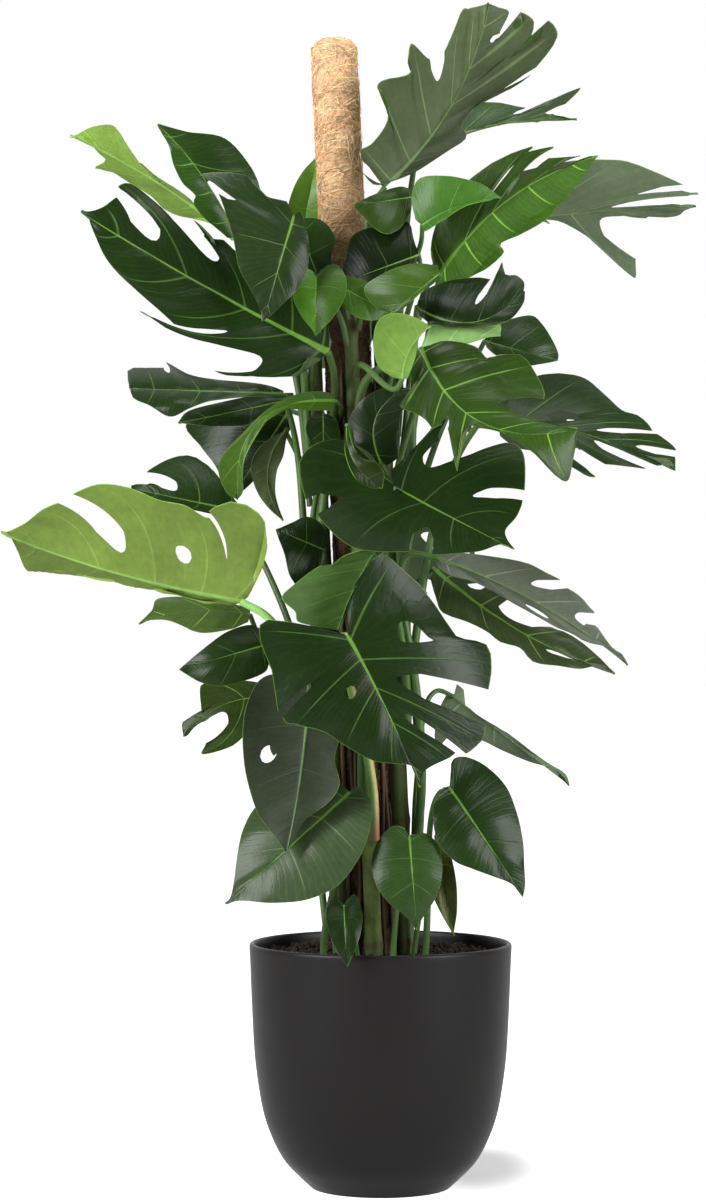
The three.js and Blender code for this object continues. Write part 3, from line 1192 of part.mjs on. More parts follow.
      [0, -54, 924], [0.4, -75, 927], [0.8, -102, 922], [1.2, -130, 905], [1.6, -158, 881],
      [2, -178, 858], [2.3, -187, 838], [2.7, -177, 810],
    ],
  ],
  round_right: [
    [
      [0, 122, 995], [0.5, 140, 1006], [1, 172, 1014], [1.5, 186, 1004], [2, 198, 985], [2.6, 204, 970],
    ],
    [
      [0, 122, 978], [1, 140, 965], [1.5, 165, 957], [2, 182, 958], [2.6, 196, 960],
    ],
  ],
  glossy_right: [
    [
      [0, 45, 1032], [0.5, 55, 1045], [1, 80, 1055], [1.5, 112, 1058], [1.78, 127, 1056],
      [2.22, 136, 1060], [2.5, 140, 1076], [2.7, 144, 1061], [3, 156, 1060], [3.5, 165, 1052],
    ],
    [
      [0, 46, 1012], [1, 60, 1005], [1.5, 85, 1003], [2, 112, 1003], [2.5, 135, 1005], [3, 152, 1012],
      [3.5, 164, 1028],
    ],
  ],
  glossy_bright: [
    [
      [0, 50, 985], [0.5, 60, 1006], [1, 82, 1016], [1.5, 112, 1027], [2, 132, 1016], [2.6, 139, 1001],
    ],
    [
      [0, 50, 974], [1, 75, 980], [1.5, 92, 981], [2, 110, 985], [2.6, 126, 991],
    ],
  ],
  young_front: [
    [
      [0, 31, 942], [1, 40, 965], [2, 44, 988], [2.5, 51, 997],
    ],
    [
      [0, 14, 943], [0.5, -2, 955], [1, -8, 980], [1.5, -4, 1006], [2, 12, 1017], [2.5, 35, 1014],
    ],
  ],
  crown_young: [
    [
      [0, 40, 1125], [0.4, 36, 1150], [0.8, 45, 1172], [1.2, 75, 1175], [1.6, 100, 1171], [2, 118, 1165],
      [2.6, 134, 1154],
    ],
    [
      [0, 50, 1112], [1, 70, 1122], [2, 100, 1141], [2.6, 126, 1148],
    ],
  ],
  crown_centre: [
    [
      [0, 34, 1132], [0.5, 24, 1116], [1, 8, 1108], [1.5, -6, 1114], [2, -16, 1124], [2.6, -27, 1136],
    ],
    [
      [0, 34, 1160], [0.5, 24, 1163], [1, 12, 1161], [1.5, -2, 1156], [2, -16, 1150], [2.6, -26, 1144],
    ],
  ],
  crown_dark: [
    [
      [0, 40, 1070], [0.5, 26, 1052], [1, 8, 1040], [1.5, -8, 1036], [2, -24, 1038], [2.6, -38, 1045],
    ],
    [
      [0, 38, 1098], [0.4, 34, 1120], [0.8, 16, 1123], [1.2, 0, 1117], [1.6, -18, 1113], [2, -33, 1104],
      [2.4, -40, 1082], [2.7, -44, 1065],
    ],
  ],
  crown_round: [
    [
      [0, -82, 1066], [1, -108, 1085], [2, -116, 1108], [2.6, -106, 1120],
    ],
    [
      [0, -66, 1062], [0.5, -57, 1066], [1, -56, 1085], [1.5, -52, 1100], [2, -58, 1115],
      [2.4, -70, 1125], [2.8, -86, 1127],
    ],
  ],
  folded_centre: [
    [
      [0, -58, 1060], [0.5, -46, 1061], [1, -30, 1058], [1.5, -15, 1052], [2, -6, 1040], [2.6, 4, 1026],
    ],
    [
      [0, -60, 1048], [0.5, -54, 1038], [1, -44, 1026], [1.5, -30, 1014], [2, -12, 1009], [2.6, 3, 1011],
    ],
  ],
  bright_centre: [
    [
      [0, 62, 1056], [1, 48, 1042], [1.5, 40, 1034], [2, 32, 1028], [2.6, 22, 1020],
    ],
    [
      [0, 66, 1072], [0.4, 42, 1074], [0.8, 20, 1069], [1.2, 0, 1060], [1.6, -17, 1049], [2, -17, 1038],
      [2.4, -8, 1026], [2.8, 2, 1020],
    ],
  ],
  hanging_grey: [
    [
      [0, -116, 878], [0.5, -134, 868], [1, -147, 850], [1.5, -148, 830], [2, -140, 808],
      [2.6, -126, 790],
    ],
    [
      [0, -106, 884], [0.5, -109, 868], [1, -112, 852], [1.5, -119, 836], [2, -121, 815],
      [2.6, -118, 794],
    ],
  ],
  small_centre: [
    [
      [0, -60, 900], [0.5, -50, 893], [1, -46, 876], [1.5, -48, 860], [2, -54, 849], [2.6, -61, 844],
    ],
    [
      [0, -72, 903], [0.5, -82, 896], [1, -86, 883], [1.5, -81, 869], [2, -75, 858], [2.6, -71, 848],
    ],
  ],
  unfurling: [
    [
      [0, -37, 886], [0.5, -35, 874], [1, -30, 860], [1.5, -20, 850], [2, -6, 846], [2.6, 4, 832],
    ],
    [
      [0, -40, 884], [0.5, -42, 872], [1, -41, 858], [1.5, -36, 840], [2, -28, 826], [2.6, -12, 816],
    ],
  ],
  narrow_right: [
    [
      [0, 78, 582], [0.3, 67, 560], [0.6, 62, 530], [0.8, 68, 519], [1, 84, 534], [1.3, 112, 528],
      [1.6, 140, 514], [2, 170, 501], [2.4, 196, 494], [2.7, 208, 486],
    ],
    [
      [0, 88, 590], [0.2, 97, 582], [0.4, 98, 562], [0.8, 115, 551], [1.2, 140, 538], [1.6, 160, 523],
      [2, 180, 508], [2.4, 200, 495], [2.7, 213, 486],
    ],
  ],
  shaded_centre: [
    [
      [0, -64, 738], [0.5, -72, 716], [1, -90, 700], [1.5, -104, 714], [2, -110, 738], [2.6, -116, 755],
    ],
    [
      [0, -60, 752], [0.5, -62, 765], [1, -72, 778], [1.5, -86, 783], [2, -100, 777], [2.6, -113, 771],
    ],
  ],
};

standAlong([poleAt(POLE_FOOT.z), POLE_TOP], [POLE_RADIUS, POLE_RADIUS]);
for (const name of Object.keys(STEMS)) {
  const ends = [STEM_FOOT, STEMS[name].top].map((z) => stemAt(name, z));
  const middles = [0.25, 0.5, 0.75].map((k) => stemAt(name, STEM_FOOT + k * (STEMS[name].top - STEM_FOOT)));
  standAlong([ends[0], ...middles, ends[1]], Array(5).fill(STEM_RADIUS + 1));
}

const blades = Object.entries(LEAVES).map(([name, leaf]) => {
  return [name, new Blade({ ...leaf, margins: MARGINS[name] })];
});

function leafGeometry(blade) {
  return geometryOf(solid(bladeGeometry(blade)).add(solid(stalkGeometry(blade))));
}

// Assembly

const plant = new THREE.Group();

function add(name, geometry, color, roughness) {
  const material = new THREE.MeshStandardMaterial({ color, roughness, metalness: 0 });
  const mesh = new THREE.Mesh(geometry, material);
  mesh.name = name;
  plant.add(mesh);
}

add("pot", potGeometry(), 0x2c2a28, 0.75);
add("pole_core", poleCoreGeometry(), 0x9a7b52, 0.8);
add("coir_sleeve", coirGeometry(), 0xb98f5c, 1);
for (const name of Object.keys(STEMS)) {
  add(`stem_${name}`, stemGeometry(name), 0x5d6a35, 0.6);
}

// A hole in the soil, from a bottom to a top above the soil.
function hole(bottom, top, radius, sides = 8) {
  return solid(sweep([bottom, top], [radius, radius], sides));
}

const coirFoot = POLE_FOOT.clone().addScaledVector(POLE_AXIS, COIR_START * POLE_LENGTH - GAP);
const soilHoles = [
  hole(POLE_FOOT.clone().addScaledVector(POLE_AXIS, -GAP), poleAt(400), STAKE_RADIUS + 1, 12),
  hole(coirFoot, poleAt(400), POLE_RADIUS + 1, 16),
];
for (const name of Object.keys(STEMS)) {
  soilHoles.push(hole(stemAt(name, STEM_FOOT - GAP), stemAt(name, 400), STEM_RADIUS + 2.4));
}
for (const [, blade] of blades) {
  if (blade.leaf.stem) continue;
  const foot = new THREE.Vector3(...blade.leaf.from);
  const climb = new THREE.Vector3(0, 0, 1).addScaledVector(bearingWay(blade.leaf.bearing), blade.leaf.lean);
  const end = foot.clone().addScaledVector(climb, 40);
  soilHoles.push(hole(foot.addScaledVector(climb, -2 * GAP), end, 1.5 * blade.leaf.stalk + 2.5));
}
add("soil", soilGeometry(soilHoles), 0x3a2a1e, 1);

for (const [name, blade] of blades) {
  add(`leaf_${name}`, leafGeometry(blade), GREEN[blade.leaf.color], 0.5);
}

export default plant;
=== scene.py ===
"""The looks of a potted swiss cheese plant on a coir pole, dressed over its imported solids.

Sizes in the tables are in millimetres and are turned into metres where a mesh is made.
+Z is up, +X is to the right, -Y is to the front, and the origin is the centre of the pot's foot.
"""

import bpy
import numpy as np
from bpy.props import FloatProperty, FloatVectorProperty, IntProperty, PointerProperty
from mathutils import Euler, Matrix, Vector


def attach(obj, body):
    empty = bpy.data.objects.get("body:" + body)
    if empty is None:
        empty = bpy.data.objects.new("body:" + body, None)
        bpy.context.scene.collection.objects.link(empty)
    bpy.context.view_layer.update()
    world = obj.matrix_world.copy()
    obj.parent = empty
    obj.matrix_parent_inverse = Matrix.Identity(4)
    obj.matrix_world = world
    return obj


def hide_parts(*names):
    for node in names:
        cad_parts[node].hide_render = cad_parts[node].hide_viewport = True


bl_info = {
    "name": "Potted Swiss Cheese Plant",
    "version": (1, 0, 0),
    "blender": (4, 5, 0),
    "location": "3D View > Sidebar > Plant",
    "description": "Builds the looks of a swiss cheese plant that climbs a coir pole in a matt pot",
    "category": "Add Mesh",
}

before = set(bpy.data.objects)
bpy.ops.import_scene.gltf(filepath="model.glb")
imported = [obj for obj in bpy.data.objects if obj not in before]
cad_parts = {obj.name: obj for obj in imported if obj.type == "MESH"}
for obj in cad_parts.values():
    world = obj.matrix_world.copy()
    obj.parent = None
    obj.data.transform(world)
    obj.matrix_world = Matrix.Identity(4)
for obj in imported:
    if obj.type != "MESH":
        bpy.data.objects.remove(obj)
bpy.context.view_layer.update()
MM = 0.001

# Driving dimensions
POT_RADIUS = 150.5
POT_HEIGHT = 279.0
POT_WALL = 6.0
FOOT_RADIUS = 80.0
SOIL_LEVEL = 263.0
POLE_RADIUS = 26.5
POLE_TOP = np.array([-54.0, 0.0, 1320.0])
POLE_FOOT = np.array([2.0, 0.0, 62.0])
COIR_START = 0.06
STEM_RADIUS = 10.0
STEM_FOOT = 150.0
NODE_SPACING = 140.0
BLADE_THICKNESS = 1.0

# A leaf's points are read on the upright plane through the origin, as an eye in front sees them.
EYE = np.array([-31.6, -3600.0, 640.0])
FOOT_SHOWS = 15.0


# Settings


def tint_setting(name, default, text):
    return FloatVectorProperty(
        name=name, description=text, subtype="COLOR", size=3, min=0.0, max=1.0, default=default
    )


def measure_setting(name, default, low, high, text, subtype="NONE"):
    return FloatProperty(name=name, description=text, subtype=subtype, min=low, max=high, default=default)


def count_setting(name, default, low, high, text):
    return IntProperty(name=name, description=text, min=low, max=high, default=default)


class PotSettings(bpy.types.PropertyGroup):
    """Sizes and finish of the pot and its soil."""

    color: tint_setting("Pot colour", (0.0105, 0.0092, 0.0088), "Colour of the matt pot")
    roughness: measure_setting("Pot roughness", 0.42, 0.0, 1.0, "How matt the pot is", "FACTOR")
    sides: count_setting("Sides", 144, 48, 256, "Flat sides round the pot")
    crumbs: count_setting("Crumbs", 1500, 0, 3000, "Loose lumps of soil on the surface")


class PoleSettings(bpy.types.PropertyGroup):
    """Sizes and colours of the coir pole."""

    fiber_color: tint_setting("Fibre colour", (1.0, 0.73, 0.44), "Colour of the coconut fibre")
    fibers: count_setting("Fibres", 3200, 0, 6000, "Fibres that lie criss-cross on the sleeve")
    hairs: count_setting("Loose hairs", 700, 0, 2000, "Fibres that stand off the sleeve")
    hair_length: measure_setting("Hair length", 0.011, 0.002, 0.03, "Mean length of a hair", "DISTANCE")


class LeafSettings(bpy.types.PropertyGroup):
    """Relief and colours of the leaves."""

    dark: tint_setting("Grown leaf", (0.013, 0.033, 0.0055), "Colour of a grown leaf's upper face")
    mid: tint_setting("Younger leaf", (0.05, 0.14, 0.018), "Colour of a younger leaf's upper face")
    light: tint_setting("Young leaf", (0.16, 0.31, 0.05), "Colour of a young leaf's upper face")
    under: tint_setting("Underside", (0.062, 0.1, 0.036), "Colour of a leaf's underside")
    relief: measure_setting("Relief", 0.0024, 0.0, 0.005, "Swelling between the side veins", "DISTANCE")


class StemSettings(bpy.types.PropertyGroup):
    """Colours of the climbing stems and leaf stalks."""

    green: tint_setting("Green bark", (0.07, 0.11, 0.03), "Colour of the young bark")
    brown: tint_setting("Brown bark", (0.11, 0.065, 0.03), "Colour of old bark and of leaf scars")
    stalk: tint_setting("Stalk", (0.075, 0.15, 0.035), "Colour of the leaf stalks")


class StageSettings(bpy.types.PropertyGroup):
    """The camera and lights."""

    key_power: measure_setting("Key light", 135.0, 0.0, 1000.0, "Soft light to the left", "POWER")
    fill_power: measure_setting("Fill light", 88.0, 0.0, 1000.0, "Soft light to the right", "POWER")
    top_power: measure_setting("Top light", 18.0, 0.0, 1000.0, "Light over the plant", "POWER")
    surround: measure_setting("Surroundings", 0.06, 0.0, 1.0, "Brightness of the room's front")


# Meshes


def made_object(name, points, faces, smooth_angle=None):
    """A new mesh object at the origin, from points in metres."""
    mesh = bpy.data.meshes.new(name)
    mesh.from_pydata([tuple(point) for point in points], [], faces)
    mesh.validate()
    mesh.update()
    piece = bpy.data.objects.new(name, mesh)
    bpy.context.scene.collection.objects.link(piece)
    if smooth_angle is not None:
        smooth(piece, smooth_angle)
    return piece


def pick(piece):
    """Selects one object alone and makes it the active one."""
    bpy.ops.object.select_all(action="DESELECT")
    piece.select_set(True)
    bpy.context.view_layer.objects.active = piece


def smooth(piece, degrees):
    """Smooth shading, apart from edges sharper than the angle."""
    pick(piece)
    bpy.ops.object.shade_smooth_by_angle(angle=np.radians(degrees))
    bpy.ops.object.select_all(action="DESELECT")


def point_numbers(piece, name, values):
    """Stores one number at each point of a mesh."""
    layer = piece.data.attributes.new(name, "FLOAT", "POINT")
    layer.data.foreach_set("value", np.asarray(values, dtype=np.float32).ravel())


def point_colors(piece, name, values):
    """Stores one colour at each point of a mesh."""
    layer = piece.data.color_attributes.new(name, "FLOAT_COLOR", "POINT")
    full = np.ones((len(values), 4), dtype=np.float32)
    full[:, :3] = values
    layer.data.foreach_set("color", full.ravel())


def dress(piece, material):
    """Gives a piece one material."""
    piece.data.materials.clear()
    piece.data.materials.append(material)


def unit(vectors):
    """Vectors of length 1 along the last axis."""
    lengths = np.linalg.norm(vectors, axis=-1, keepdims=True)
    return vectors / np.maximum(lengths, 1e-12)


def lerp(a, b, share):
    return a + (b - a) * share


def hermite(b, c, leave, reach, t):
    """The smooth way from b to c that leaves and arrives at the given rates."""
    return (
        b * (1 + 2 * t) * (1 - t) ** 2
        + leave * t * (1 - t) ** 2
        + c * t * t * (3 - 2 * t)
        + reach * t * t * (t - 1)
    )


def smooth_path(points, steps):
    """A curve through points, with a number of steps between each two."""
    points = np.asarray(points, dtype=float)
    padded = np.vstack([2 * points[0] - points[1], points, 2 * points[-1] - points[-2]])
    found = []
    for i in range(len(points) - 1):
        a, b, c, d = padded[i : i + 4]
        for t in np.arange(steps) / steps:
            found.append(hermite(b, c, (c - a) / 2, (d - b) / 2, t))
    return np.array(found + [points[-1]])


def ring_faces(rings, sides):
    """Faces between rings of points, with a face over each end."""
    faces = []
    for i in range(rings - 1):
        for k in range(sides):
            a, b = i * sides + k, i * sides + (k + 1) % sides
            faces.append((a, b, b + sides, a + sides))
    faces.append(tuple(reversed(range(sides))))
    faces.append(tuple((rings - 1) * sides + k for k in range(sides)))
    return faces


def joined(parts):
    """Several pairs of points and faces as one pair."""
    points, faces, offset = [], [], 0
    for vertices, polygons in parts:
        points.append(vertices)
        faces += [tuple(offset + k for k in face) for face in polygons]
        offset += len(vertices)
    return np.vstack(points), faces


def tube(points, radii, sides, start=None):
    """Points and faces of a closed round bar. Returns also the share of its length at each point."""
    points = np.asarray(points, dtype=float)
    count = len(points)
    along = unit(np.gradient(points, axis=0))
    across = np.array([0.0, 1.0, 0.0]) if start is None else np.array(start, dtype=float)
    turn = 2 * np.pi * np.arange(sides) / sides
    rings = []
    for i in range(count):
        across = across - along[i] * across.dot(along[i])
        across = across / max(np.linalg.norm(across), 1e-9)
        third = np.cross(along[i], across)
        ring = np.outer(np.cos(turn), across) + np.outer(np.sin(turn), third)
        rings.append(points[i] + radii[i] * ring)
    travelled = np.concatenate([[0], np.cumsum(np.linalg.norm(np.diff(points, axis=0), axis=1))])
    shares = np.repeat(travelled / max(travelled[-1], 1e-9), sides)
    return np.vstack(rings), ring_faces(count, sides), shares


# Pole and stems


def pole_at(z):
    """The middle of the pole at a height."""
    return lerp(POLE_FOOT, POLE_TOP, (z - POLE_FOOT[2]) / (POLE_TOP[2] - POLE_FOOT[2]))


def bearing_way(bearing):
    turn = np.radians(bearing)
    return np.array([np.cos(turn), np.sin(turn), 0.0])


# Bearing round the pole in degrees, height of the top, and turn on the way up.
STEMS = {
    "front": {"bearing": 268, "top": 1060, "wind": 10},
    "right": {"bearing": 345, "top": 1120, "wind": 18},
    "back": {"bearing": 88, "top": 1150, "wind": -12},
    "left": {"bearing": 196, "top": 1090, "wind": -16},
}
STEM_REACH = POLE_RADIUS + STEM_RADIUS + 1.5


def stem_at(name, z):
    stem = STEMS[name]
    share = (z - STEM_FOOT) / (stem["top"] - STEM_FOOT)
    return pole_at(z) + bearing_way(stem["bearing"] + stem["wind"] * share) * STEM_REACH


def stem_radius(name, z):
    """The stem swells at its nodes and thins toward its top."""
    share = (z - STEM_FOOT) / (STEMS[name]["top"] - STEM_FOOT)
    swell = max(0.0, np.cos(2 * np.pi * z / NODE_SPACING)) ** 6
    return STEM_RADIUS * (1 - 0.25 * share) + 1.1 * swell


# Leaf outlines and cuts


def even_curve(corners, number):
    """A centripetal curve through corners, at numbers from 0 to 1."""
    corners = np.asarray(corners, dtype=float)
    last = len(corners) - 1
    place = np.clip(number, 0, 1) * last
    base = np.minimum(np.floor(place).astype(int), last - 1)
    t = (place - base)[..., None]
    padded = np.vstack([2 * corners[0] - corners[1], corners, 2 * corners[-1] - corners[-2]])
    a, b, c, d = [padded[base + k] for k in range(4)]
    gaps = [np.linalg.norm(q - p, axis=-1, keepdims=True) ** 0.5 for p, q in ((a, b), (b, c), (c, d))]
    before, here, after = gaps
    leave = ((b - a) / before - (c - a) / (before + here) + (c - b) / here) * here
    reach = ((c - b) / here - (d - b) / (here + after) + (d - c) / after) * here
    return hermite(b, c, leave, reach, t)


# Half of a blade's outline: along the midrib as a share of its length, across as a share of its width.
HEART = [
    (-0.14, 0.22), (-0.19, 0.56), (-0.05, 0.87), (0.19, 1.0),
    (0.47, 0.88), (0.73, 0.55), (0.9, 0.2), (1.0, 0.0),
]
BROAD = [
    (-0.13, 0.2), (-0.19, 0.56), (-0.05, 0.88), (0.2, 1.0),
    (0.5, 0.98), (0.77, 0.78), (0.94, 0.42), (1.0, 0.0),
]

# Cuts between side veins by their letter: where a cut starts and ends along the vein, and how far it
# opens to each side as a share of the space between two veins.
CUTS = {
    letter: {"root": root, "end": end, "open": wide}
    for letter, root, end, wide in (
        ("-", 1.0, 1.0, 0.0),
        ("o", 0.14, 0.42, 0.26),
        ("i", 0.24, 0.42, 0.15),
        ("I", 0.42, 0.7, 0.16),
        ("s", 0.6, 1.0, 0.16),
        ("S", 0.38, 1.0, 0.22),
        ("D", 0.2, 1.0, 0.27),
        ("l", 0.4, 1.0, 0.04),
    )
}


def reaches_margin(cut):
    return cut["root"] < 1.0 and cut["end"] == 1.0


def past_root(cut, share):
    """From 0 at the root of a cut that reaches the margin to 1 at the margin."""
    if not reaches_margin(cut):
        return np.zeros_like(share)
    return np.clip((share - cut["root"]) / (1 - cut["root"]), 0, 1) ** 2


def gape(cut, share):
    """How far a cut stands open at a share of the vein."""
    root, end, wide = cut["root"], cut["end"], cut["open"]
    if wide == 0.0:
        return np.zeros_like(share)
    if reaches_margin(cut):
        return wide * np.minimum(1, np.sqrt(np.clip((share - root) / 0.22, 0, None)))
    middle, half = (root + end) / 2, (end - root) / 2
    return wide * np.sqrt(np.clip(1 - ((share - middle) / half) ** 2, 0, None))


# What a leaf has where its row says nothing. Its stalk: lean outward, rise and bend as shares of its
# span, the way it arrives (along and above the midrib), and half its thickness. Its blade: fold and curl
# of each half in degrees, the midrib's arch and sway, how the side veins spread and bow, how far each
# half drops back, and the cuts of the left half and the right. Every margin has the same low waves.
USUAL = {
    "lean": 0.14, "rise": 0.5, "bend": 0.35, "arrive": (0.5, 0.8), "stalk": 3.2, "fold": (8, 8),
    "curl": (40, 40), "arch": 10, "sway": 0, "spread": 1.5, "bow": 0.02, "deep": (0, 0), "cuts": "-- --",
}
WAVE = 2.0


def seen(x, z, y):
    """The place at depth y that the eye sees at (x, z) of the reading plane."""
    on_plane = np.array([x, 0.0, z - FOOT_SHOWS])
    return lerp(EYE, on_plane, (y - EYE[1]) / -EYE[1])


def through(knots, places, numbers):
    """A curve through places that each have a knot number, at the numbers asked for."""
    last = len(knots) - 1
    above = np.clip(np.searchsorted(knots, numbers, side="left"), 1, last)
    index = [np.clip(above + k, 0, last) for k in (-2, -1, 0, 1)]
    (ka, kb, kc, kd), (a, b, c, d) = [knots[i] for i in index], [places[i] for i in index]
    span = kc - kb
    t = ((numbers - kb) / span)[..., None]
    leave = (c - a) * (span / (kc - ka))[..., None]
    reach = (d - b) * (span / (kd - kb))[..., None]
    return hermite(b, c, leave, reach, t)


class Blade:
    """A leaf as a surface. Side is -1 for left and 1 for right with the tip up, from the upper face.
    Vein runs from 0 at the base lobe to 1 at the tip, and share from 0 at the midrib to 1 outside."""

    def __init__(self, row, margins):
        self.leaf = row
        self.joint = seen(*row["joint"])
        self.chord = seen(*row["tip"]) - self.joint
        self.length = np.linalg.norm(self.chord)
        yaw, pitch = np.radians(row["face"])
        facing = np.array([np.sin(yaw) * np.cos(pitch), -np.cos(yaw) * np.cos(pitch), np.sin(pitch)])
        self.forward = self.chord / self.length
        self.normal = unit(facing - self.forward * facing.dot(self.forward))
        self.across = np.cross(self.forward, self.normal)
        left, right = row["cuts"].split()
        self.cuts = [[CUTS[letter] for letter in f"-{half}-"] for half in (left, right)]
        self.lobes = len(left) + 1
        self.outline = BROAD if set("sSD") & set(left + right) else HEART
        self.margins = [self.traced(edge) for edge in margins] if margins else None
        if margins:
            self.reach = [np.abs(places[:, 1]).max() for _, places in self.margins]

    @staticmethod
    def half(side):
        return 0 if side < 0 else 1

    def traced(self, edge):
        """A margin read as (lobe, x, z) from the base to the tip, on the flat of the blade."""
        knots = [lobe for lobe, _, _ in edge] + [self.lobes]
        places = []
        for _, x, z in edge:
            sight = seen(x, z, 0.0) - EYE
            far = (self.joint - EYE).dot(self.normal) / sight.dot(self.normal)
            place = sight * far + EYE - self.joint
            places.append((place.dot(self.forward), place.dot(self.across)))
        places.append((self.length, 0.0))
        return np.array(knots, dtype=float), np.array(places)

    def traced_point(self, side, vein, share):
        leaf, k = self.leaf, self.half(side)
        edge = through(*self.margins[k], vein * self.lobes)
        start = vein ** leaf["spread"]
        sway = leaf["sway"]
        root = np.stack([start * self.length, 4 * sway * start * (1 - start)], axis=-1)
        bow = lerp(root, edge, 0.56)
        bow_x = bow[..., 0] - leaf["bow"] * np.abs(edge[..., 1] - root[..., 1])
        bow_y = bow[..., 1] + leaf["bow"] * side * (edge[..., 0] - root[..., 0])
        bow = np.stack([bow_x, bow_y], axis=-1)
        s = share[..., None]
        flat = root * (1 - s) ** 2 + bow * 2 * s * (1 - s) + edge * s**2
        u = flat[..., 0] / self.length
        parabola = np.where(u < 0, 0, 4 * u * (1 - u))
        y = np.minimum(1.2, np.abs(flat[..., 1] - sway * parabola) / self.reach[k])
        _, rise = self.rolled(k, y, self.reach[k])
        lift = rise + self.ripple(side, vein, share) + leaf["deep"][k] * y + leaf["arch"] * parabola
        at = self.joint + flat[..., :1] * self.forward + flat[..., 1:] * self.across
        sight = unit(at - EYE)
        square = sight @ self.normal
        return at + sight * (lift * np.sign(square) / np.maximum(np.abs(square), 0.5))[..., None]

    def frame(self, u):
        """The midrib at a share of its length, with the ways along, across and up from it."""
        u = np.asarray(u, dtype=float)[..., None]
        arch, sway = self.leaf["arch"], self.leaf["sway"]
        bow = np.where(u < 0, 4 * u, 4 * u * (1 - u))
        slope = np.where(u < 0, 4, 4 - 8 * u)
        at = self.joint + self.chord * u + self.normal * arch * bow + self.across * sway * bow
        along = unit(self.chord + self.normal * arch * slope + self.across * sway * slope)
        inner = np.sum(along * self.across, axis=-1, keepdims=True)
        across = unit(self.across - along * inner)
        return at, along, across, np.cross(across, along)

    def rolled(self, k, y, width):
        """How far out and up a half that is folded and curled brings a share of its width."""
        tilt = np.radians(self.leaf["fold"][k])
        bend = np.radians(self.leaf["curl"][k]) or 1e-6
        end = tilt - bend * y
        return width / bend * (np.sin(tilt) - np.sin(end)), width / bend * (np.cos(end) - np.cos(tilt))

    def ripple(self, side, vein, share):
        """Waves that grow toward the margin and differ from leaf to leaf."""
        return WAVE * share**2 * np.sin(9 * vein + self.leaf["joint"][1] + 2 * side)

    def point(self, side, vein, share):
        if self.margins:
            return self.traced_point(side, vein, share)
        leaf, k = self.leaf, self.half(side)
        edge = even_curve(self.outline, vein)
        edge_x, edge_y = edge[..., 0], edge[..., 1]
        start = vein**2.1
        bow_x = (start + edge_x) / 2 - 0.13 * edge_y
        x = (1 - share) ** 2 * start + 2 * share * (1 - share) * bow_x + share**2 * edge_x
        y = 2 * share * (1 - share) * 0.56 * edge_y + share**2 * edge_y
        at, _, across, up = self.frame(x)
        out, rise = self.rolled(k, y, leaf["width"][k])
        ripple = self.ripple(side, vein, share)
        return at + across * (side * out)[..., None] + up * (rise + ripple)[..., None]

    def in_lobe(self, side, lobe, across, share):
        """A place in one lobe, across it from 0 on its base side to 1 on its tip side."""
        cuts = self.cuts[self.half(side)]
        low, high = cuts[lobe], cuts[lobe + 1]
        first = lobe + gape(low, share)
        last = lobe + 1 - gape(high, share)
        middle = lobe + 0.5
        near = first + (middle - first) * 2 * across
        far = middle + (last - middle) * (2 * across - 1)
        vein = np.where(across < 0.5, near, far) / self.lobes
        blunt, keen = (0.05, 0.02) if self.margins else (0.17, 0.06)
        short = blunt * past_root(low, share) * (1 - across) ** 2
        short = short + keen * past_root(high, share) * across**2
        return self.point(side, vein, share * (1 - short)), vein * self.lobes

def leaf_row(stem, start, bearing, joint, tip, face, **more):
    """A leaf's row. Its stalk starts at a height on a stem, or at a place in the soil. Joint and tip are
    (x, z, depth) on the reading plane, and face is the way its upper face looks, as (yaw, pitch)."""
    placed = {"stem": stem, "start": start, "bearing": bearing, "joint": joint, "tip": tip, "face": face}
    return {**USUAL, **placed, **more}


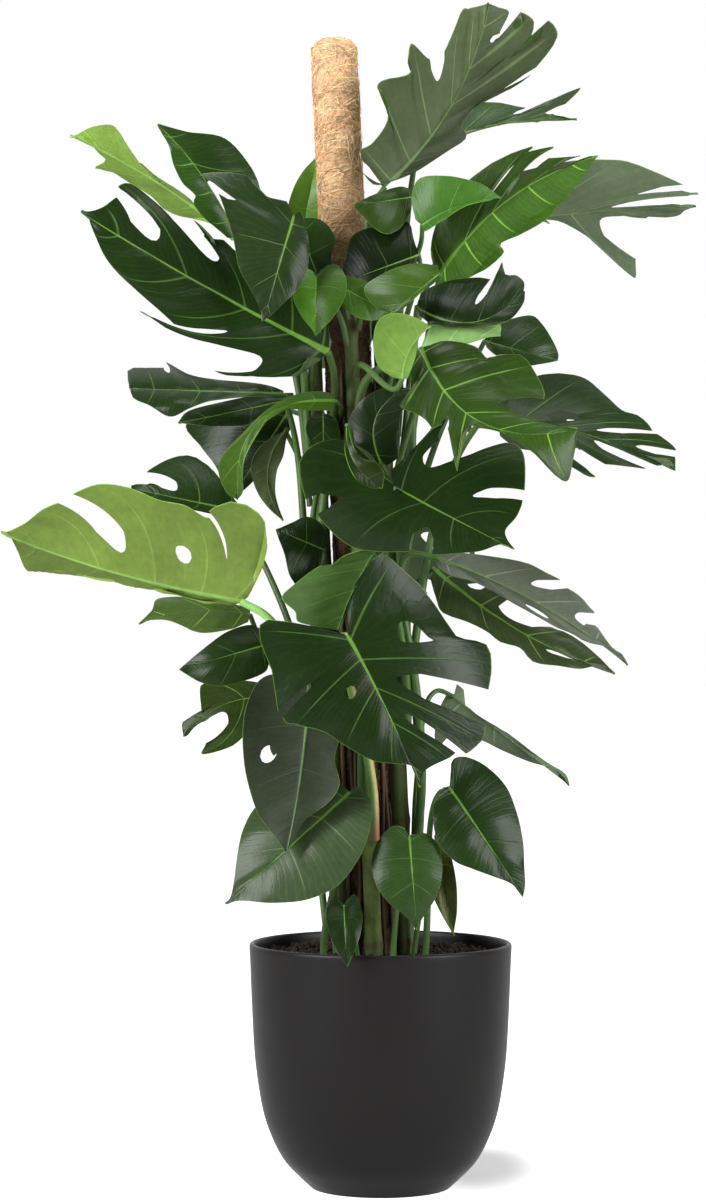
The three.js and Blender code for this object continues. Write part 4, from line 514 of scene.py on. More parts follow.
# Half widths stand where a leaf's margins aren't read.
LEAVES = {
    # Crown
    "top": leaf_row(
        "right", 860, 350, (5, 1162, -36), (125, 1374, -30), (200, 25), bend=0.3, arrive=(0.7, -0.1),
        fold=(10, 8), curl=(45, 40), sway=-22, spread=1.3, cuts="--ssS --s--",
    ),
    "crown_right": leaf_row(
        "right", 880, 50, (40, 1195, 46), (226, 1241, 50), (10, 40), fold=(5, 5), sway=-22, spread=1.3,
        cuts="-ss ---",
    ),
    "fingered_right": leaf_row(
        "right", 740, -38, (68, 1060, -36), (250, 1198, -65), (0, 0), stalk=3, fold=(0, 0), curl=(20, 25),
        sway=-22, spread=1.3, bow=0.13, deep=(0, -25), cuts="-SSS ----",
    ),
    "far_right": leaf_row(
        "right", 800, 12, (140, 1122, 0), (363, 1140, -5), (185, 30), arrive=(0.8, -0.2), fold=(5, 10),
        curl=(45, 20), sway=4, bow=0.06, cuts="-DD- -sD-",
    ),
    "crown_left": leaf_row(
        "left", 860, 165, (-165, 1100, 58), (-357, 1222, 50), (170, 10), lean=0.02, rise=0.7,
        arrive=(0.8, -0.2), fold=(25, 30), curl=(25, 25), sway=-8, spread=1.3, deep=(20, 20),
        cuts="--- ---",
    ),
    "crown_left_dark": leaf_row(
        "left", 830, 192, (-165, 1105, -6), (-256, 1234, -6), (0, 20), lean=0.02, rise=0.7, stalk=2.8,
        fold=(20, 5), curl=(20, 35), sway=8, spread=1, bow=0.13, cuts="--- -D-",
    ),
    "hanging_left": leaf_row(
        "left", 800, 222, (-100, 1128, -124), (-135, 1008, -150), (6, 10), lean=0.05, rise=0.8, bend=0.25,
        arrive=(0.1, 0.9), fold=(5, 10), curl=(40, 55), spread=1.3, cuts="--- s--",
    ),
    "crown_slip": leaf_row(
        "back", 900, 170, (-88, 1118, 48), (-72, 1199, 58), (0, 10), stalk=2.6, width=(22, 20),
        fold=(20, 20), curl=(10, 10),
    ),
    "crown_young": leaf_row(
        "right", 900, 280, (48, 1118, -76), (140, 1150, -82), (0, 20), rise=0.65, stalk=2.6, fold=(20, 70),
        curl=(30, 10), sway=-8,
    ),
    "crown_centre": leaf_row(
        "right", 960, 262, (34, 1150, -46), (-31, 1141, -52), (0, 30), stalk=2.4, fold=(15, 15),
        curl=(30, 30),
    ),
    "crown_dark": leaf_row(
        "right", 840, 262, (44, 1084, -80), (-44, 1052, -82), (0, 20), bend=0.25, stalk=2.6, fold=(5, 5),
        curl=(30, 30), spread=1.3,
    ),
    "crown_round": leaf_row(
        "left", 900, 238, (-74, 1064, -40), (-96, 1124, -46), (-5, 5), lean=0.05, stalk=2.6, fold=(5, 5),
        curl=(25, 25),
    ),
    # Upper middle
    "great_left": leaf_row(
        "left", 620, 238, (-60, 972, -92), (-345, 1133, -110), (-8, 22), stalk=4, fold=(12, 12),
        curl=(45, 40), sway=-4, spread=1.6, bow=0.2, cuts="SS-- -sSD",
    ),
    "folded_young": leaf_row(
        "front", 990, 258, (-74, 1058, -112), (-74, 992, -122), (0, 10), bend=0.42, stalk=2.6,
        width=(35, 28), fold=(20, 20), curl=(20, 30),
    ),
    "folded_centre": leaf_row(
        "front", 960, 248, (-62, 1056, -98), (12, 1017, -99), (0, 20), bend=0.4, stalk=2.4, fold=(10, 10),
        curl=(20, 20),
    ),
    "bright_centre": leaf_row(
        "front", 978, 304, (68, 1062, -122), (12, 1018, -128), (0, 30), arrive=(-0.3, 0.9), stalk=2.6,
        fold=(12, 12), curl=(15, 15),
    ),
    "glossy_right": leaf_row(
        "right", 700, 320, (42, 1024, -94), (165, 1042, -102), (0, 25), stalk=3, fold=(10, 10),
        curl=(45, 45), sway=30, spread=1.3, cuts="-S- ---",
    ),
    "glossy_bright": leaf_row(
        "right", 770, 290, (44, 972, -104), (138, 992, -112), (5, 35), arrive=(0.2, 0.6), stalk=3,
        fold=(10, 10), sway=-4,
    ),
    "young_front": leaf_row(
        "front", 926, 282, (25, 941, -190), (58, 1002, -192), (180, 10), lean=0.3, rise=0.3, bend=0.3,
        arrive=(0.5, -0.6), stalk=2.8, fold=(20, 20), curl=(30, 30), sway=8,
    ),
    "sweeping_right": leaf_row(
        "front", 890, 290, (47, 975, -152), (226, 884, -164), (5, 22), arrive=(0, 0.8), stalk=3.6,
        fold=(12, 12), curl=(40, 45), sway=46, spread=1.7, bow=0.05, cuts="--s-- s-ss-",
    ),
    "round_right": leaf_row(
        "right", 700, 345, (120, 985, 30), (203, 962, 28), (5, 30), stalk=2.8, fold=(10, 10), bow=0.05,
    ),
    "star_right": leaf_row(
        "right", 560, 330, (120, 900, -60), (338, 836, -80), (5, 42), stalk=3.4, curl=(35, 40), sway=-16,
        spread=1.4, bow=0.05, cuts="-oDD -DD-",
    ),
    "pleated_left": leaf_row(
        "left", 650, 192, (-112, 924, -14), (-288, 930, -20), (-5, 55), fold=(10, 10), spread=1.3,
        cuts="--- --s",
    ),
    "dusky_left": leaf_row(
        "left", 680, 150, (-100, 918, 82), (-232, 890, 80), (0, 40), arrive=(0.9, 0.3), stalk=3,
        fold=(10, 10), bow=0.05,
    ),
    "shaded_left": leaf_row(
        "back", 560, 150, (-105, 905, 116), (-172, 804, 124), (-10, 20), stalk=3, fold=(5, 10),
        curl=(30, 40), bow=0.05,
    ),
    "hanging_young": leaf_row(
        "left", 710, 215, (-52, 916, -66), (-165, 803, -74), (0, 5), stalk=2.4, fold=(10, 10),
        curl=(10, 10), sway=45, spread=1.3,
    ),
    "small_centre": leaf_row(
        "front", 800, 215, (-66, 902, -50), (-66, 843, -54), (0, 10), stalk=2.2, curl=(15, 15),
    ),
    "hanging_grey": leaf_row(
        "left", 780, 172, (-108, 884, 28), (-112, 778, 32), (180, 5), arrive=(-0.3, -0.6), stalk=2.4,
        fold=(5, 5), curl=(20, 20), sway=-20, spread=1.3,
    ),
    "claw_left": leaf_row(
        "left", 500, 172, (-165, 790, 48), (-287, 815, 58), (-10, 30), stalk=3, fold=(5, 10), curl=(20, 30),
        bow=0.35, cuts="-- -D",
    ),
    "round_centre": leaf_row(
        "front", 610, 240, (0, 846, -74), (30, 931, -80), (0, 25), stalk=3, curl=(45, 45), arch=0, sway=-22,
        spread=1.3, cuts="--- ---",
    ),
    "unfurling": leaf_row(
        "front", 790, 250, (-39, 888, -128), (2, 816, -150), (0, 10), stalk=2.2, fold=(25, 25),
        curl=(10, 10), sway=13, spread=1.3,
    ),
    "wide_centre": leaf_row(
        "right", 500, 308, (18, 815, -126), (153, 745, -138), (0, 14), stalk=3.4, fold=(8, 5), arch=0,
        bow=0.2, cuts="SS- sS-",
    ),
    # Lower middle
    "great_pale_left": leaf_row(
        "left", 345, 208, (-160, 685, -78), (-436, 764, -92), (172, 15), bend=0.25, arrive=(0.8, 0.2),
        stalk=4.2, fold=(8, 0), curl=(30, 30), sway=8, bow=0.3, deep=(0, 50), cuts="liD- ----",
    ),
    "small_left": leaf_row(
        "left", 430, 190, (-150, 670, 12), (-278, 660, 4), (0, 45), stalk=2.8, sway=14,
    ),
    "low_left": leaf_row(
        "left", 390, 197, (-130, 636, -30), (-231, 607, -38), (0, 30), stalk=2.8, bow=0.05,
    ),
    "low_left_back": leaf_row(
        "left", 280, 165, (-100, 565, 25), (-225, 530, 25), (-5, 30), stalk=2.8, sway=28, spread=1.3,
        bow=0.3, cuts="SD -s",
    ),
    "shaded_centre": leaf_row(
        "left", 545, 242, (-66, 745, -62), (-120, 768, -66), (0, 20), stalk=2.8, fold=(5, 5), curl=(20, 20),
    ),
    "pale_centre": leaf_row(
        "front", 430, 240, (-3, 748, -106), (-49, 652, -112), (180, 15), arrive=(0.3, -0.6), stalk=3,
        fold=(8, 12), curl=(35, 35), sway=-4, spread=1.3, cuts="--- ---",
    ),
    "great_centre": leaf_row(
        "front", 400, 288, (-38, 646, -148), (45, 472, -158), (5, 22), stalk=4, fold=(10, 10),
        curl=(42, 45), sway=-4, bow=0.05, cuts="IDD- li--",
    ),
    "pale_right": leaf_row(
        "right", 380, 330, (65, 735, -35), (284, 612, -48), (180, 20), arrive=(0.7, -0.3), stalk=3.6,
        curl=(30, 30), sway=12, cuts="-I- -SS",
    ),
    "shaded_right": leaf_row(
        "right", 360, 10, (62, 723, 18), (269, 602, 22), (0, 40), stalk=3, sway=16, spread=1.3, bow=0.05,
        cuts="SD- --o",
    ),
    "narrow_right": leaf_row(
        "right", 400, 10, (84, 576, 30), (217, 474, 30), (180, 10), arrive=(0.8, -0.2), stalk=2.6,
        fold=(15, 15), curl=(10, 10),
    ),
    # Young leaves round the foot
    "hanging_slit": leaf_row(
        "left", 300, 245, (-82, 588, -122), (-108, 397, -138), (172, 0), arrive=(-0.2, -0.7), curl=(30, 30),
        sway=4, bow=0.05, cuts="-I- ---",
    ),
    "heart_left": leaf_row(
        None, (-65, -40, 245), 235, (-35, 465, -92), (-178, 338, -108), (-10, 30), stalk=2.8, fold=(10, 10),
        bow=0.05, cuts="--- ---",
    ),
    "heart_right": leaf_row(
        None, (48, -50, 245), 320, (80, 471, -95), (164, 347, -108), (12, 25), stalk=2.8, fold=(12, 10),
        curl=(35, 40), bow=0.05, cuts="--- ---",
    ),
    "heart_front": leaf_row(
        None, (12, -66, 245), 285, (33, 415, -108), (42, 308, -120), (0, 25), stalk=2.4, fold=(10, 10),
        bow=0.05, cuts="--- ---",
    ),
    "over_rim": leaf_row(
        None, (-24, -70, 245), 250, (-42, 335, -140), (-38, 266, -164), (-5, 35), stalk=1.8, width=(20, 20),
        fold=(12, 12), curl=(30, 30),
    ),
    "old_sheath": leaf_row(
        None, (36, -22, 245), 300, (62, 400, -68), (84, 301, -90), (0, 10), stalk=2.2, width=(20, 18),
        fold=(30, 30), curl=(-20, 20),
    ),
    # Far side
    "back_high": leaf_row(
        "back", 780, 80, (-40, 1060, 130), (-130, 960, 260), (165, 40), stalk=3.4, width=(80, 84),
        curl=(35, 35), cuts="oSSs -SSs",
    ),
    "back_right": leaf_row(
        "back", 640, 45, (90, 930, 152), (230, 860, 245), (140, 45), width=(84, 80), curl=(35, 35),
        cuts="-SDs oSDs",
    ),
    "back_middle": leaf_row(
        "back", 480, 84, (34, 800, 156), (16, 680, 268), (175, 40), width=(90, 92), curl=(35, 35),
        cuts="oSDs -SDs",
    ),
    "back_low": leaf_row(
        "back", 330, 115, (-50, 600, 120), (-90, 480, 220), (190, 35), width=(70, 70), curl=(35, 35),
        cuts="-SSs -SSs",
    ),
}

# The margins of the leaves that show whole, read on the reading plane from the base to the tip: the
# left half, then the right. Each place is (lobe, x, z), where the cuts stand at whole lobes.
MARGINS = {
    "great_centre": (
        ((0, -37, 664), (0.15, -32, 700), (0.3, -12, 731), (0.42, 2, 740), (0.57, 25, 721), (0.75, 52, 696),
         (0.9, 73, 665), (1, 86, 645), (1.3, 122, 636), (1.55, 129, 608), (1.73, 126, 583),
         (2.27, 125, 539), (2.5, 119, 525), (2.73, 101, 509), (3.27, 90, 509), (3.5, 80, 505), (4, 58, 496),
         (4.5, 48, 487)),
        ((0, -60, 653), (0.3, -130, 664), (0.6, -139, 640), (0.8, -126, 605), (1, -117, 551),
         (1.5, -97, 543), (2, -67, 536), (2.5, -40, 519), (3, -10, 503), (3.5, 14, 499), (4, 34, 497),
         (4.5, 42, 486)),
    ),
    "wide_centre": (
        ((0, 14, 838), (0.5, 76, 896), (0.78, 70, 872), (1.22, 150, 868), (1.5, 166, 854), (1.78, 168, 813),
         (2.22, 168, 801), (2.5, 158, 784), (3, 144, 768), (3.5, 146, 756)),
        ((0, 4, 832), (0.25, -42, 872), (0.6, -93, 850), (0.9, -86, 792), (1.15, -79, 783), (1.5, -32, 746),
         (1.8, 36, 741), (2.2, 60, 737), (2.5, 85, 740), (3, 115, 743), (3.5, 138, 750)),
    ),
    "great_left": (
        ((0, -84, 966), (0.3, -104, 944), (0.5, -150, 944), (0.78, -194, 951), (1.22, -255, 1004),
         (1.5, -280, 1020), (1.78, -262, 1012), (2.22, -243, 1006), (2.5, -256, 1021), (3, -280, 1043),
         (3.5, -300, 1062), (4, -318, 1085), (4.5, -329, 1108), (4.8, -338, 1127)),
        ((0, -58, 990), (0.5, -72, 1035), (1.5, -125, 1090), (1.84, -160, 1104), (2.16, -184, 1106),
         (2.45, -200, 1108), (2.6, -216, 1126), (2.78, -204, 1108), (3.22, -276, 1158), (3.4, -293, 1167),
         (3.6, -304, 1162), (3.73, -292, 1162), (4.27, -306, 1152), (4.5, -318, 1141), (4.75, -332, 1135)),
    ),
    "great_pale_left": (
        ((0, -150, 700), (0.2, -141, 730), (0.4, -134, 760), (0.5, -134, 776), (0.65, -150, 793),
         (0.8, -175, 800), (0.92, -196, 793), (1.08, -202, 785), (1.5, -226, 798), (2, -256, 803),
         (2.3, -290, 816), (2.55, -328, 820), (2.73, -356, 811), (3.27, -376, 801), (3.5, -390, 791),
         (4, -407, 776), (4.5, -424, 768)),
        ((0, -172, 683), (0.5, -182, 684), (1, -205, 687), (1.5, -228, 693), (2, -258, 701),
         (2.5, -295, 710), (3, -330, 716), (3.5, -368, 721), (4, -400, 722), (4.3, -409, 727),
         (4.6, -417, 744), (4.85, -426, 760)),
    ),
    "top": (
        ((0, -24, 1180), (0.4, -4, 1163), (1, 40, 1180), (1.5, 78, 1204), (1.85, 98, 1219), (2.2, 95, 1238),
         (2.5, 125, 1266), (2.84, 174, 1293), (3.16, 184, 1303), (3.45, 206, 1338), (3.65, 194, 1356),
         (3.84, 182, 1336), (4.16, 174, 1330), (4.45, 178, 1354), (4.6, 163, 1364), (4.78, 163, 1350),
         (5.22, 138, 1340), (5.45, 149, 1363), (5.7, 137, 1369)),
        ((0, -18, 1192), (0.4, -24, 1205), (0.7, -10, 1212), (1, 6, 1232), (1.2, 10, 1250), (1.5, -2, 1280),
         (2, 32, 1294), (2.3, 30, 1312), (2.5, 36, 1328), (2.84, 57, 1311), (3.16, 76, 1322),
         (3.5, 91, 1364), (4, 100, 1368), (5, 114, 1371)),
    ),
    "far_right": (
        ((0, 142, 1110), (0.5, 152, 1113), (1, 168, 1119), (1.5, 182, 1122), (1.73, 196, 1122),
         (2.27, 277, 1079), (2.5, 294, 1056), (2.73, 295, 1078), (3.27, 308, 1126), (3.6, 330, 1127),
         (3.9, 343, 1130), (4.3, 350, 1136), (4.7, 358, 1139)),
        ((0, 142, 1135), (0.4, 150, 1172), (0.8, 180, 1184), (1.1, 222, 1193), (1.4, 262, 1193),
         (1.6, 292, 1189), (1.84, 351, 1166), (2.16, 354, 1159), (2.4, 370, 1154), (2.73, 356, 1152),
         (3.27, 345, 1141), (3.6, 352, 1140), (4.2, 358, 1140)),
    ),
    "fingered_right": (
        ((0, 62, 1068), (0.5, 60, 1108), (1, 88, 1158), (1.3, 128, 1190), (1.55, 176, 1209),
         (1.78, 162, 1201), (2.22, 170, 1204), (2.5, 200, 1210), (2.78, 186, 1202), (3.22, 196, 1197),
         (3.5, 231, 1198), (3.78, 214, 1194), (4.22, 214, 1185), (4.5, 236, 1198)),
        ((0, 62, 1044), (0.5, 78, 1047), (1, 100, 1058), (1.5, 122, 1068), (1.9, 142, 1087),
         (2.15, 138, 1097), (2.5, 160, 1107), (3, 188, 1123), (3.5, 204, 1140), (4, 222, 1160),
         (4.5, 238, 1180)),
    ),
    "sweeping_right": (
        ((0, 50, 978), (0.5, 75, 984), (1, 108, 979), (1.5, 122, 966), (2, 132, 966), (2.3, 160, 970),
         (2.6, 180, 948), (2.84, 190, 919), (3.16, 152, 906), (4, 172, 896), (5, 200, 888), (5.5, 214, 886)),
        ((0, 40, 972), (0.5, 34, 950), (0.84, 40, 926), (1.16, 34, 915), (1.4, 22, 909), (1.75, 45, 899),
         (2.2, 54, 892), (2.5, 60, 885), (2.84, 70, 889), (3.16, 78, 884), (3.5, 88, 834), (3.84, 94, 878),
         (4.16, 112, 885), (4.5, 145, 877), (5, 178, 855), (5.5, 213, 824), (5.8, 225, 862)),
    ),
    "star_right": (
        ((0, 134, 912), (0.5, 148, 930), (1, 165, 942), (1.25, 198, 947), (1.5, 234, 942), (1.75, 257, 923),
         (2, 277, 905), (2.3, 296, 900), (2.5, 308, 891), (2.73, 315, 883), (3.27, 322, 879),
         (3.5, 336, 868), (3.73, 342, 861), (4.27, 341, 853), (4.5, 340, 850), (4.8, 339, 843)),
        ((0, 128, 896), (0.5, 160, 874), (1, 195, 855), (1.5, 235, 832), (1.73, 249, 829), (2.27, 262, 841),
         (2.5, 290, 838), (2.73, 306, 836), (3.27, 312, 846), (3.5, 321, 841), (4, 329, 847),
         (4.5, 333, 845), (4.8, 336, 840)),
    ),
    "pale_right": (
        ((0, 66, 724), (0.5, 80, 715), (1, 112, 706), (1.4, 150, 684), (1.7, 178, 669), (2, 204, 655),
         (2.3, 222, 648), (2.6, 238, 639), (3, 252, 635), (3.5, 268, 628), (3.8, 278, 620)),
        ((0, 64, 742), (0.5, 95, 741), (1, 130, 736), (1.4, 170, 730), (1.6, 192, 719), (1.78, 208, 711),
         (2.22, 218, 701), (2.4, 230, 692), (2.6, 241, 679), (2.78, 247, 672), (3.22, 238, 660),
         (3.4, 248, 658), (3.55, 256, 648), (3.7, 268, 632), (3.85, 280, 624)),
    ),
    "shaded_right": (
        ((0, 66, 722), (0.5, 85, 716), (0.78, 110, 706), (1.22, 124, 703), (1.5, 140, 693),
         (1.73, 148, 688), (2.27, 198, 656), (2.5, 212, 651), (3, 230, 641), (3.5, 250, 624),
         (3.8, 261, 612)),
        ((0, 58, 712), (0.3, 64, 690), (0.7, 72, 672), (1, 100, 662), (1.4, 122, 651), (1.7, 138, 639),
         (2, 160, 632), (2.3, 175, 616), (2.7, 205, 610), (3, 228, 607), (3.4, 250, 612), (3.8, 262, 608)),
    ),
    "hanging_slit": (
        ((0, -95, 605), (0.5, -135, 598), (1, -153, 568), (1.5, -159, 535), (2, -157, 500),
         (2.5, -150, 468), (3, -140, 440), (3.5, -122, 416)),
        ((0, -72, 602), (0.5, -45, 590), (1, -38, 560), (1.5, -46, 528), (2, -53, 503), (2.5, -48, 476),
         (3, -62, 453), (3.5, -90, 431)),
    ),
    "heart_left": (
        ((0, -28, 474), (0.5, -12, 458), (1, -12, 425), (1.5, -24, 392), (2, -48, 360), (2.5, -84, 343),
         (3, -125, 339), (3.6, -163, 342)),
        ((0, -48, 478), (0.5, -80, 482), (1, -115, 470), (1.5, -142, 450), (2, -157, 422), (2.5, -165, 392),
         (3, -169, 364), (3.5, -172, 348)),
    ),
    "heart_right": (
        ((0, 82, 482), (0.4, 83, 503), (0.7, 98, 507), (1, 120, 497), (1.5, 145, 472), (2, 158, 440),
         (2.5, 164, 408), (3, 165, 382), (3.5, 166, 362)),
        ((0, 72, 472), (0.5, 62, 455), (1, 61, 430), (1.5, 67, 407), (2, 85, 387), (2.5, 106, 378),
         (3, 130, 369), (3.5, 150, 361)),
    ),
    "heart_front": (
        ((0, 36, 418), (0.5, 52, 419), (1, 66, 406), (1.5, 71, 385), (2, 70, 364), (2.5, 63, 345),
         (3, 54, 331), (3.5, 46, 319)),
        ((0, 28, 424), (0.5, 14, 427), (1, -3, 409), (1.5, -10, 386), (2, -5, 361), (2.5, 8, 341),
         (3, 24, 328), (3.5, 36, 317)),
    ),
    "pale_centre": (
        ((0, -16, 745), (0.5, -42, 738), (0.9, -62, 723), (1.1, -70, 726), (1.5, -95, 708), (2, -113, 690),
         (2.5, -98, 674), (3, -94, 662), (3.5, -68, 656)),
        ((0, 2, 742), (0.5, -2, 730), (1, -12, 717), (1.5, -22, 706), (2, -30, 695), (2.5, -36, 680),
         (3, -40, 668), (3.5, -44, 658)),
    ),
    "round_centre": (
        ((0, -12, 843), (0.5, -32, 855), (1, -39, 872), (1.5, -36, 895), (2, -24, 914), (2.5, -8, 926),
         (3, 8, 931), (3.5, 20, 932)),
        ((0, 8, 842), (0.5, 20, 852), (1, 23, 878), (1.5, 22, 898), (2, 30, 910), (2.5, 48, 914),
         (3, 46, 922), (3.5, 38, 928)),
    ),
    "crown_left": (
        ((0, -172, 1107), (0.5, -200, 1130), (1, -218, 1144), (1.5, -240, 1161), (2, -265, 1179),
         (2.4, -288, 1200), (2.6, -292, 1212), (2.75, -302, 1228), (3, -312, 1234), (3.3, -332, 1232),
         (3.7, -349, 1224)),
        ((0, -170, 1101), (0.5, -198, 1124), (1, -222, 1127), (1.5, -248, 1138), (1.8, -262, 1151),
         (2.1, -290, 1166), (2.4, -312, 1180), (2.55, -329, 1184), (2.75, -316, 1192), (3, -324, 1200),
         (3.5, -343, 1218)),
    ),
    "crown_left_dark": (
        ((0, -176, 1104), (0.7, -204, 1128), (1.2, -215, 1144), (1.5, -213, 1153), (2, -228, 1168),
         (2.5, -238, 1188), (3, -243, 1208), (3.5, -251, 1224)),
        ((0, -158, 1104), (0.7, -172, 1118), (1, -180, 1126), (1.4, -192, 1144), (1.73, -208, 1168),
         (2.27, -137, 1152), (2.5, -146, 1182), (3, -178, 1218), (3.5, -222, 1225)),
    ),
    "hanging_left": (
        ((0, -92, 1135), (0.5, -85, 1115), (1, -82, 1090), (1.5, -86, 1065), (2, -96, 1045),
         (2.5, -108, 1032), (3, -118, 1022), (3.5, -127, 1014)),
        ((0, -108, 1146), (0.3, -138, 1154), (0.55, -158, 1177), (0.84, -210, 1177), (1.16, -190, 1156),
         (1.5, -172, 1110), (2, -163, 1070), (2.5, -150, 1045), (3, -142, 1030), (3.5, -137, 1018)),
    ),
    "crown_right": (
        ((0, 38, 1205), (0.5, 60, 1236), (1, 90, 1254), (1.5, 135, 1260), (1.84, 168, 1255),
         (2.16, 192, 1257), (2.5, 231, 1277), (2.84, 214, 1258), (3.16, 200, 1247), (3.5, 212, 1243)),
        ((0, 42, 1185), (1, 70, 1205), (1.5, 98, 1226), (2, 125, 1231), (2.5, 152, 1237), (3, 185, 1238),
         (3.5, 207, 1239)),
    ),
    "pleated_left": (
        ((0, -112, 918), (1, -150, 920), (2, -195, 917), (2.5, -222, 906), (3, -243, 899), (3.5, -268, 912),
         (3.8, -284, 920)),
        ((0, -112, 928), (1, -145, 935), (2, -190, 942), (2.5, -222, 948), (2.84, -247, 960),
         (3.16, -250, 954), (3.5, -268, 952), (3.8, -290, 950)),
    ),
    "dusky_left": (
        ((0, -104, 914), (1, -135, 900), (1.5, -152, 889), (2, -178, 887), (2.6, -215, 888)),
        ((0, -100, 925), (1, -140, 922), (2, -190, 914), (2.6, -222, 903)),
    ),
    "claw_left": (
        ((0, -168, 785), (1, -200, 787), (2, -245, 798), (2.6, -275, 806)),
        ((0, -166, 800), (0.5, -180, 817), (1, -200, 842), (1.3, -222, 853), (1.55, -248, 848),
         (1.73, -270, 834), (2.27, -266, 821), (2.6, -284, 820)),
    ),
    "small_left": (
        ((0, -152, 662), (0.5, -172, 653), (1, -200, 649), (1.5, -218, 653), (2, -242, 664),
         (2.5, -260, 665)),
        ((0, -150, 678), (0.5, -172, 683), (1, -205, 686), (1.5, -232, 690), (2, -257, 688),
         (2.5, -263, 675)),
    ),
    "low_left": (
        ((0, -128, 625), (0.5, -132, 605), (1, -160, 593), (1.5, -185, 588), (2, -206, 592),
         (2.5, -222, 601)),
        ((0, -132, 650), (0.5, -150, 658), (1, -175, 650), (1.5, -195, 637), (2, -212, 624),
         (2.5, -226, 612)),
    ),
    "low_left_back": (
        ((0, -98, 552), (0.5, -115, 538), (1, -150, 532), (1.27, -180, 515), (1.5, -206, 509),
         (1.73, -202, 522), (2.27, -206, 546), (2.6, -218, 541)),
        ((0, -102, 580), (0.5, -140, 592), (1, -175, 594), (1.5, -207, 589), (1.8, -206, 558),
         (2.2, -212, 555), (2.6, -227, 546)),
    ),
    "shaded_left": (
        ((0, -100, 895), (1, -115, 860), (2, -145, 825), (2.6, -162, 810)),
        ((0, -120, 912), (0.5, -170, 912), (1, -222, 890), (1.5, -206, 863), (2, -190, 842),
         (2.6, -178, 818)),
    ),
    "hanging_young": (
        ((0, -56, 906), (0.5, -84, 905), (0.9, -110, 906), (1.2, -130, 894), (1.6, -150, 868),
         (2, -158, 845), (2.6, -158, 812)),
        ((0, -54, 924), (0.4, -75, 927), (0.8, -102, 922), (1.2, -130, 905), (1.6, -158, 881),
         (2, -178, 858), (2.3, -187, 838), (2.7, -177, 810)),
    ),
    "round_right": (
        ((0, 122, 995), (0.5, 140, 1006), (1, 172, 1014), (1.5, 186, 1004), (2, 198, 985), (2.6, 204, 970)),
        ((0, 122, 978), (1, 140, 965), (1.5, 165, 957), (2, 182, 958), (2.6, 196, 960)),
    ),
    "glossy_right": (
        ((0, 45, 1032), (0.5, 55, 1045), (1, 80, 1055), (1.5, 112, 1058), (1.78, 127, 1056),
         (2.22, 136, 1060), (2.5, 140, 1076), (2.7, 144, 1061), (3, 156, 1060), (3.5, 165, 1052)),
        ((0, 46, 1012), (1, 60, 1005), (1.5, 85, 1003), (2, 112, 1003), (2.5, 135, 1005), (3, 152, 1012),
         (3.5, 164, 1028)),
    ),
    "glossy_bright": (
        ((0, 50, 985), (0.5, 60, 1006), (1, 82, 1016), (1.5, 112, 1027), (2, 132, 1016), (2.6, 139, 1001)),
        ((0, 50, 974), (1, 75, 980), (1.5, 92, 981), (2, 110, 985), (2.6, 126, 991)),
    ),
    "young_front": (
        ((0, 31, 942), (1, 40, 965), (2, 44, 988), (2.5, 51, 997)),
        ((0, 14, 943), (0.5, -2, 955), (1, -8, 980), (1.5, -4, 1006), (2, 12, 1017), (2.5, 35, 1014)),
    ),
    "crown_young": (
        ((0, 40, 1125), (0.4, 36, 1150), (0.8, 45, 1172), (1.2, 75, 1175), (1.6, 100, 1171), (2, 118, 1165),
         (2.6, 134, 1154)),
        ((0, 50, 1112), (1, 70, 1122), (2, 100, 1141), (2.6, 126, 1148)),
    ),
    "crown_centre": (
        ((0, 34, 1132), (0.5, 24, 1116), (1, 8, 1108), (1.5, -6, 1114), (2, -16, 1124), (2.6, -27, 1136)),
        ((0, 34, 1160), (0.5, 24, 1163), (1, 12, 1161), (1.5, -2, 1156), (2, -16, 1150), (2.6, -26, 1144)),
    ),
    "crown_dark": (
        ((0, 40, 1070), (0.5, 26, 1052), (1, 8, 1040), (1.5, -8, 1036), (2, -24, 1038), (2.6, -38, 1045)),
        ((0, 38, 1098), (0.4, 34, 1120), (0.8, 16, 1123), (1.2, 0, 1117), (1.6, -18, 1113), (2, -33, 1104),
         (2.4, -40, 1082), (2.7, -44, 1065)),
    ),
    "crown_round": (
        ((0, -82, 1066), (1, -108, 1085), (2, -116, 1108), (2.6, -106, 1120)),
        ((0, -66, 1062), (0.5, -57, 1066), (1, -56, 1085), (1.5, -52, 1100), (2, -58, 1115),
         (2.4, -70, 1125), (2.8, -86, 1127)),
    ),
    "folded_centre": (
        ((0, -58, 1060), (0.5, -46, 1061), (1, -30, 1058), (1.5, -15, 1052), (2, -6, 1040), (2.6, 4, 1026)),
        ((0, -60, 1048), (0.5, -54, 1038), (1, -44, 1026), (1.5, -30, 1014), (2, -12, 1009), (2.6, 3, 1011)),
    ),
    "bright_centre": (
        ((0, 62, 1056), (1, 48, 1042), (1.5, 40, 1034), (2, 32, 1028), (2.6, 22, 1020)),
        ((0, 66, 1072), (0.4, 42, 1074), (0.8, 20, 1069), (1.2, 0, 1060), (1.6, -17, 1049), (2, -17, 1038),
         (2.4, -8, 1026), (2.8, 2, 1020)),
    ),
    "hanging_grey": (
        ((0, -116, 878), (0.5, -134, 868), (1, -147, 850), (1.5, -148, 830), (2, -140, 808),
         (2.6, -126, 790)),
        ((0, -106, 884), (0.5, -109, 868), (1, -112, 852), (1.5, -119, 836), (2, -121, 815),
         (2.6, -118, 794)),
    ),
    "small_centre": (
        ((0, -60, 900), (0.5, -50, 893), (1, -46, 876), (1.5, -48, 860), (2, -54, 849), (2.6, -61, 844)),
        ((0, -72, 903), (0.5, -82, 896), (1, -86, 883), (1.5, -81, 869), (2, -75, 858), (2.6, -71, 848)),
    ),
    "unfurling": (
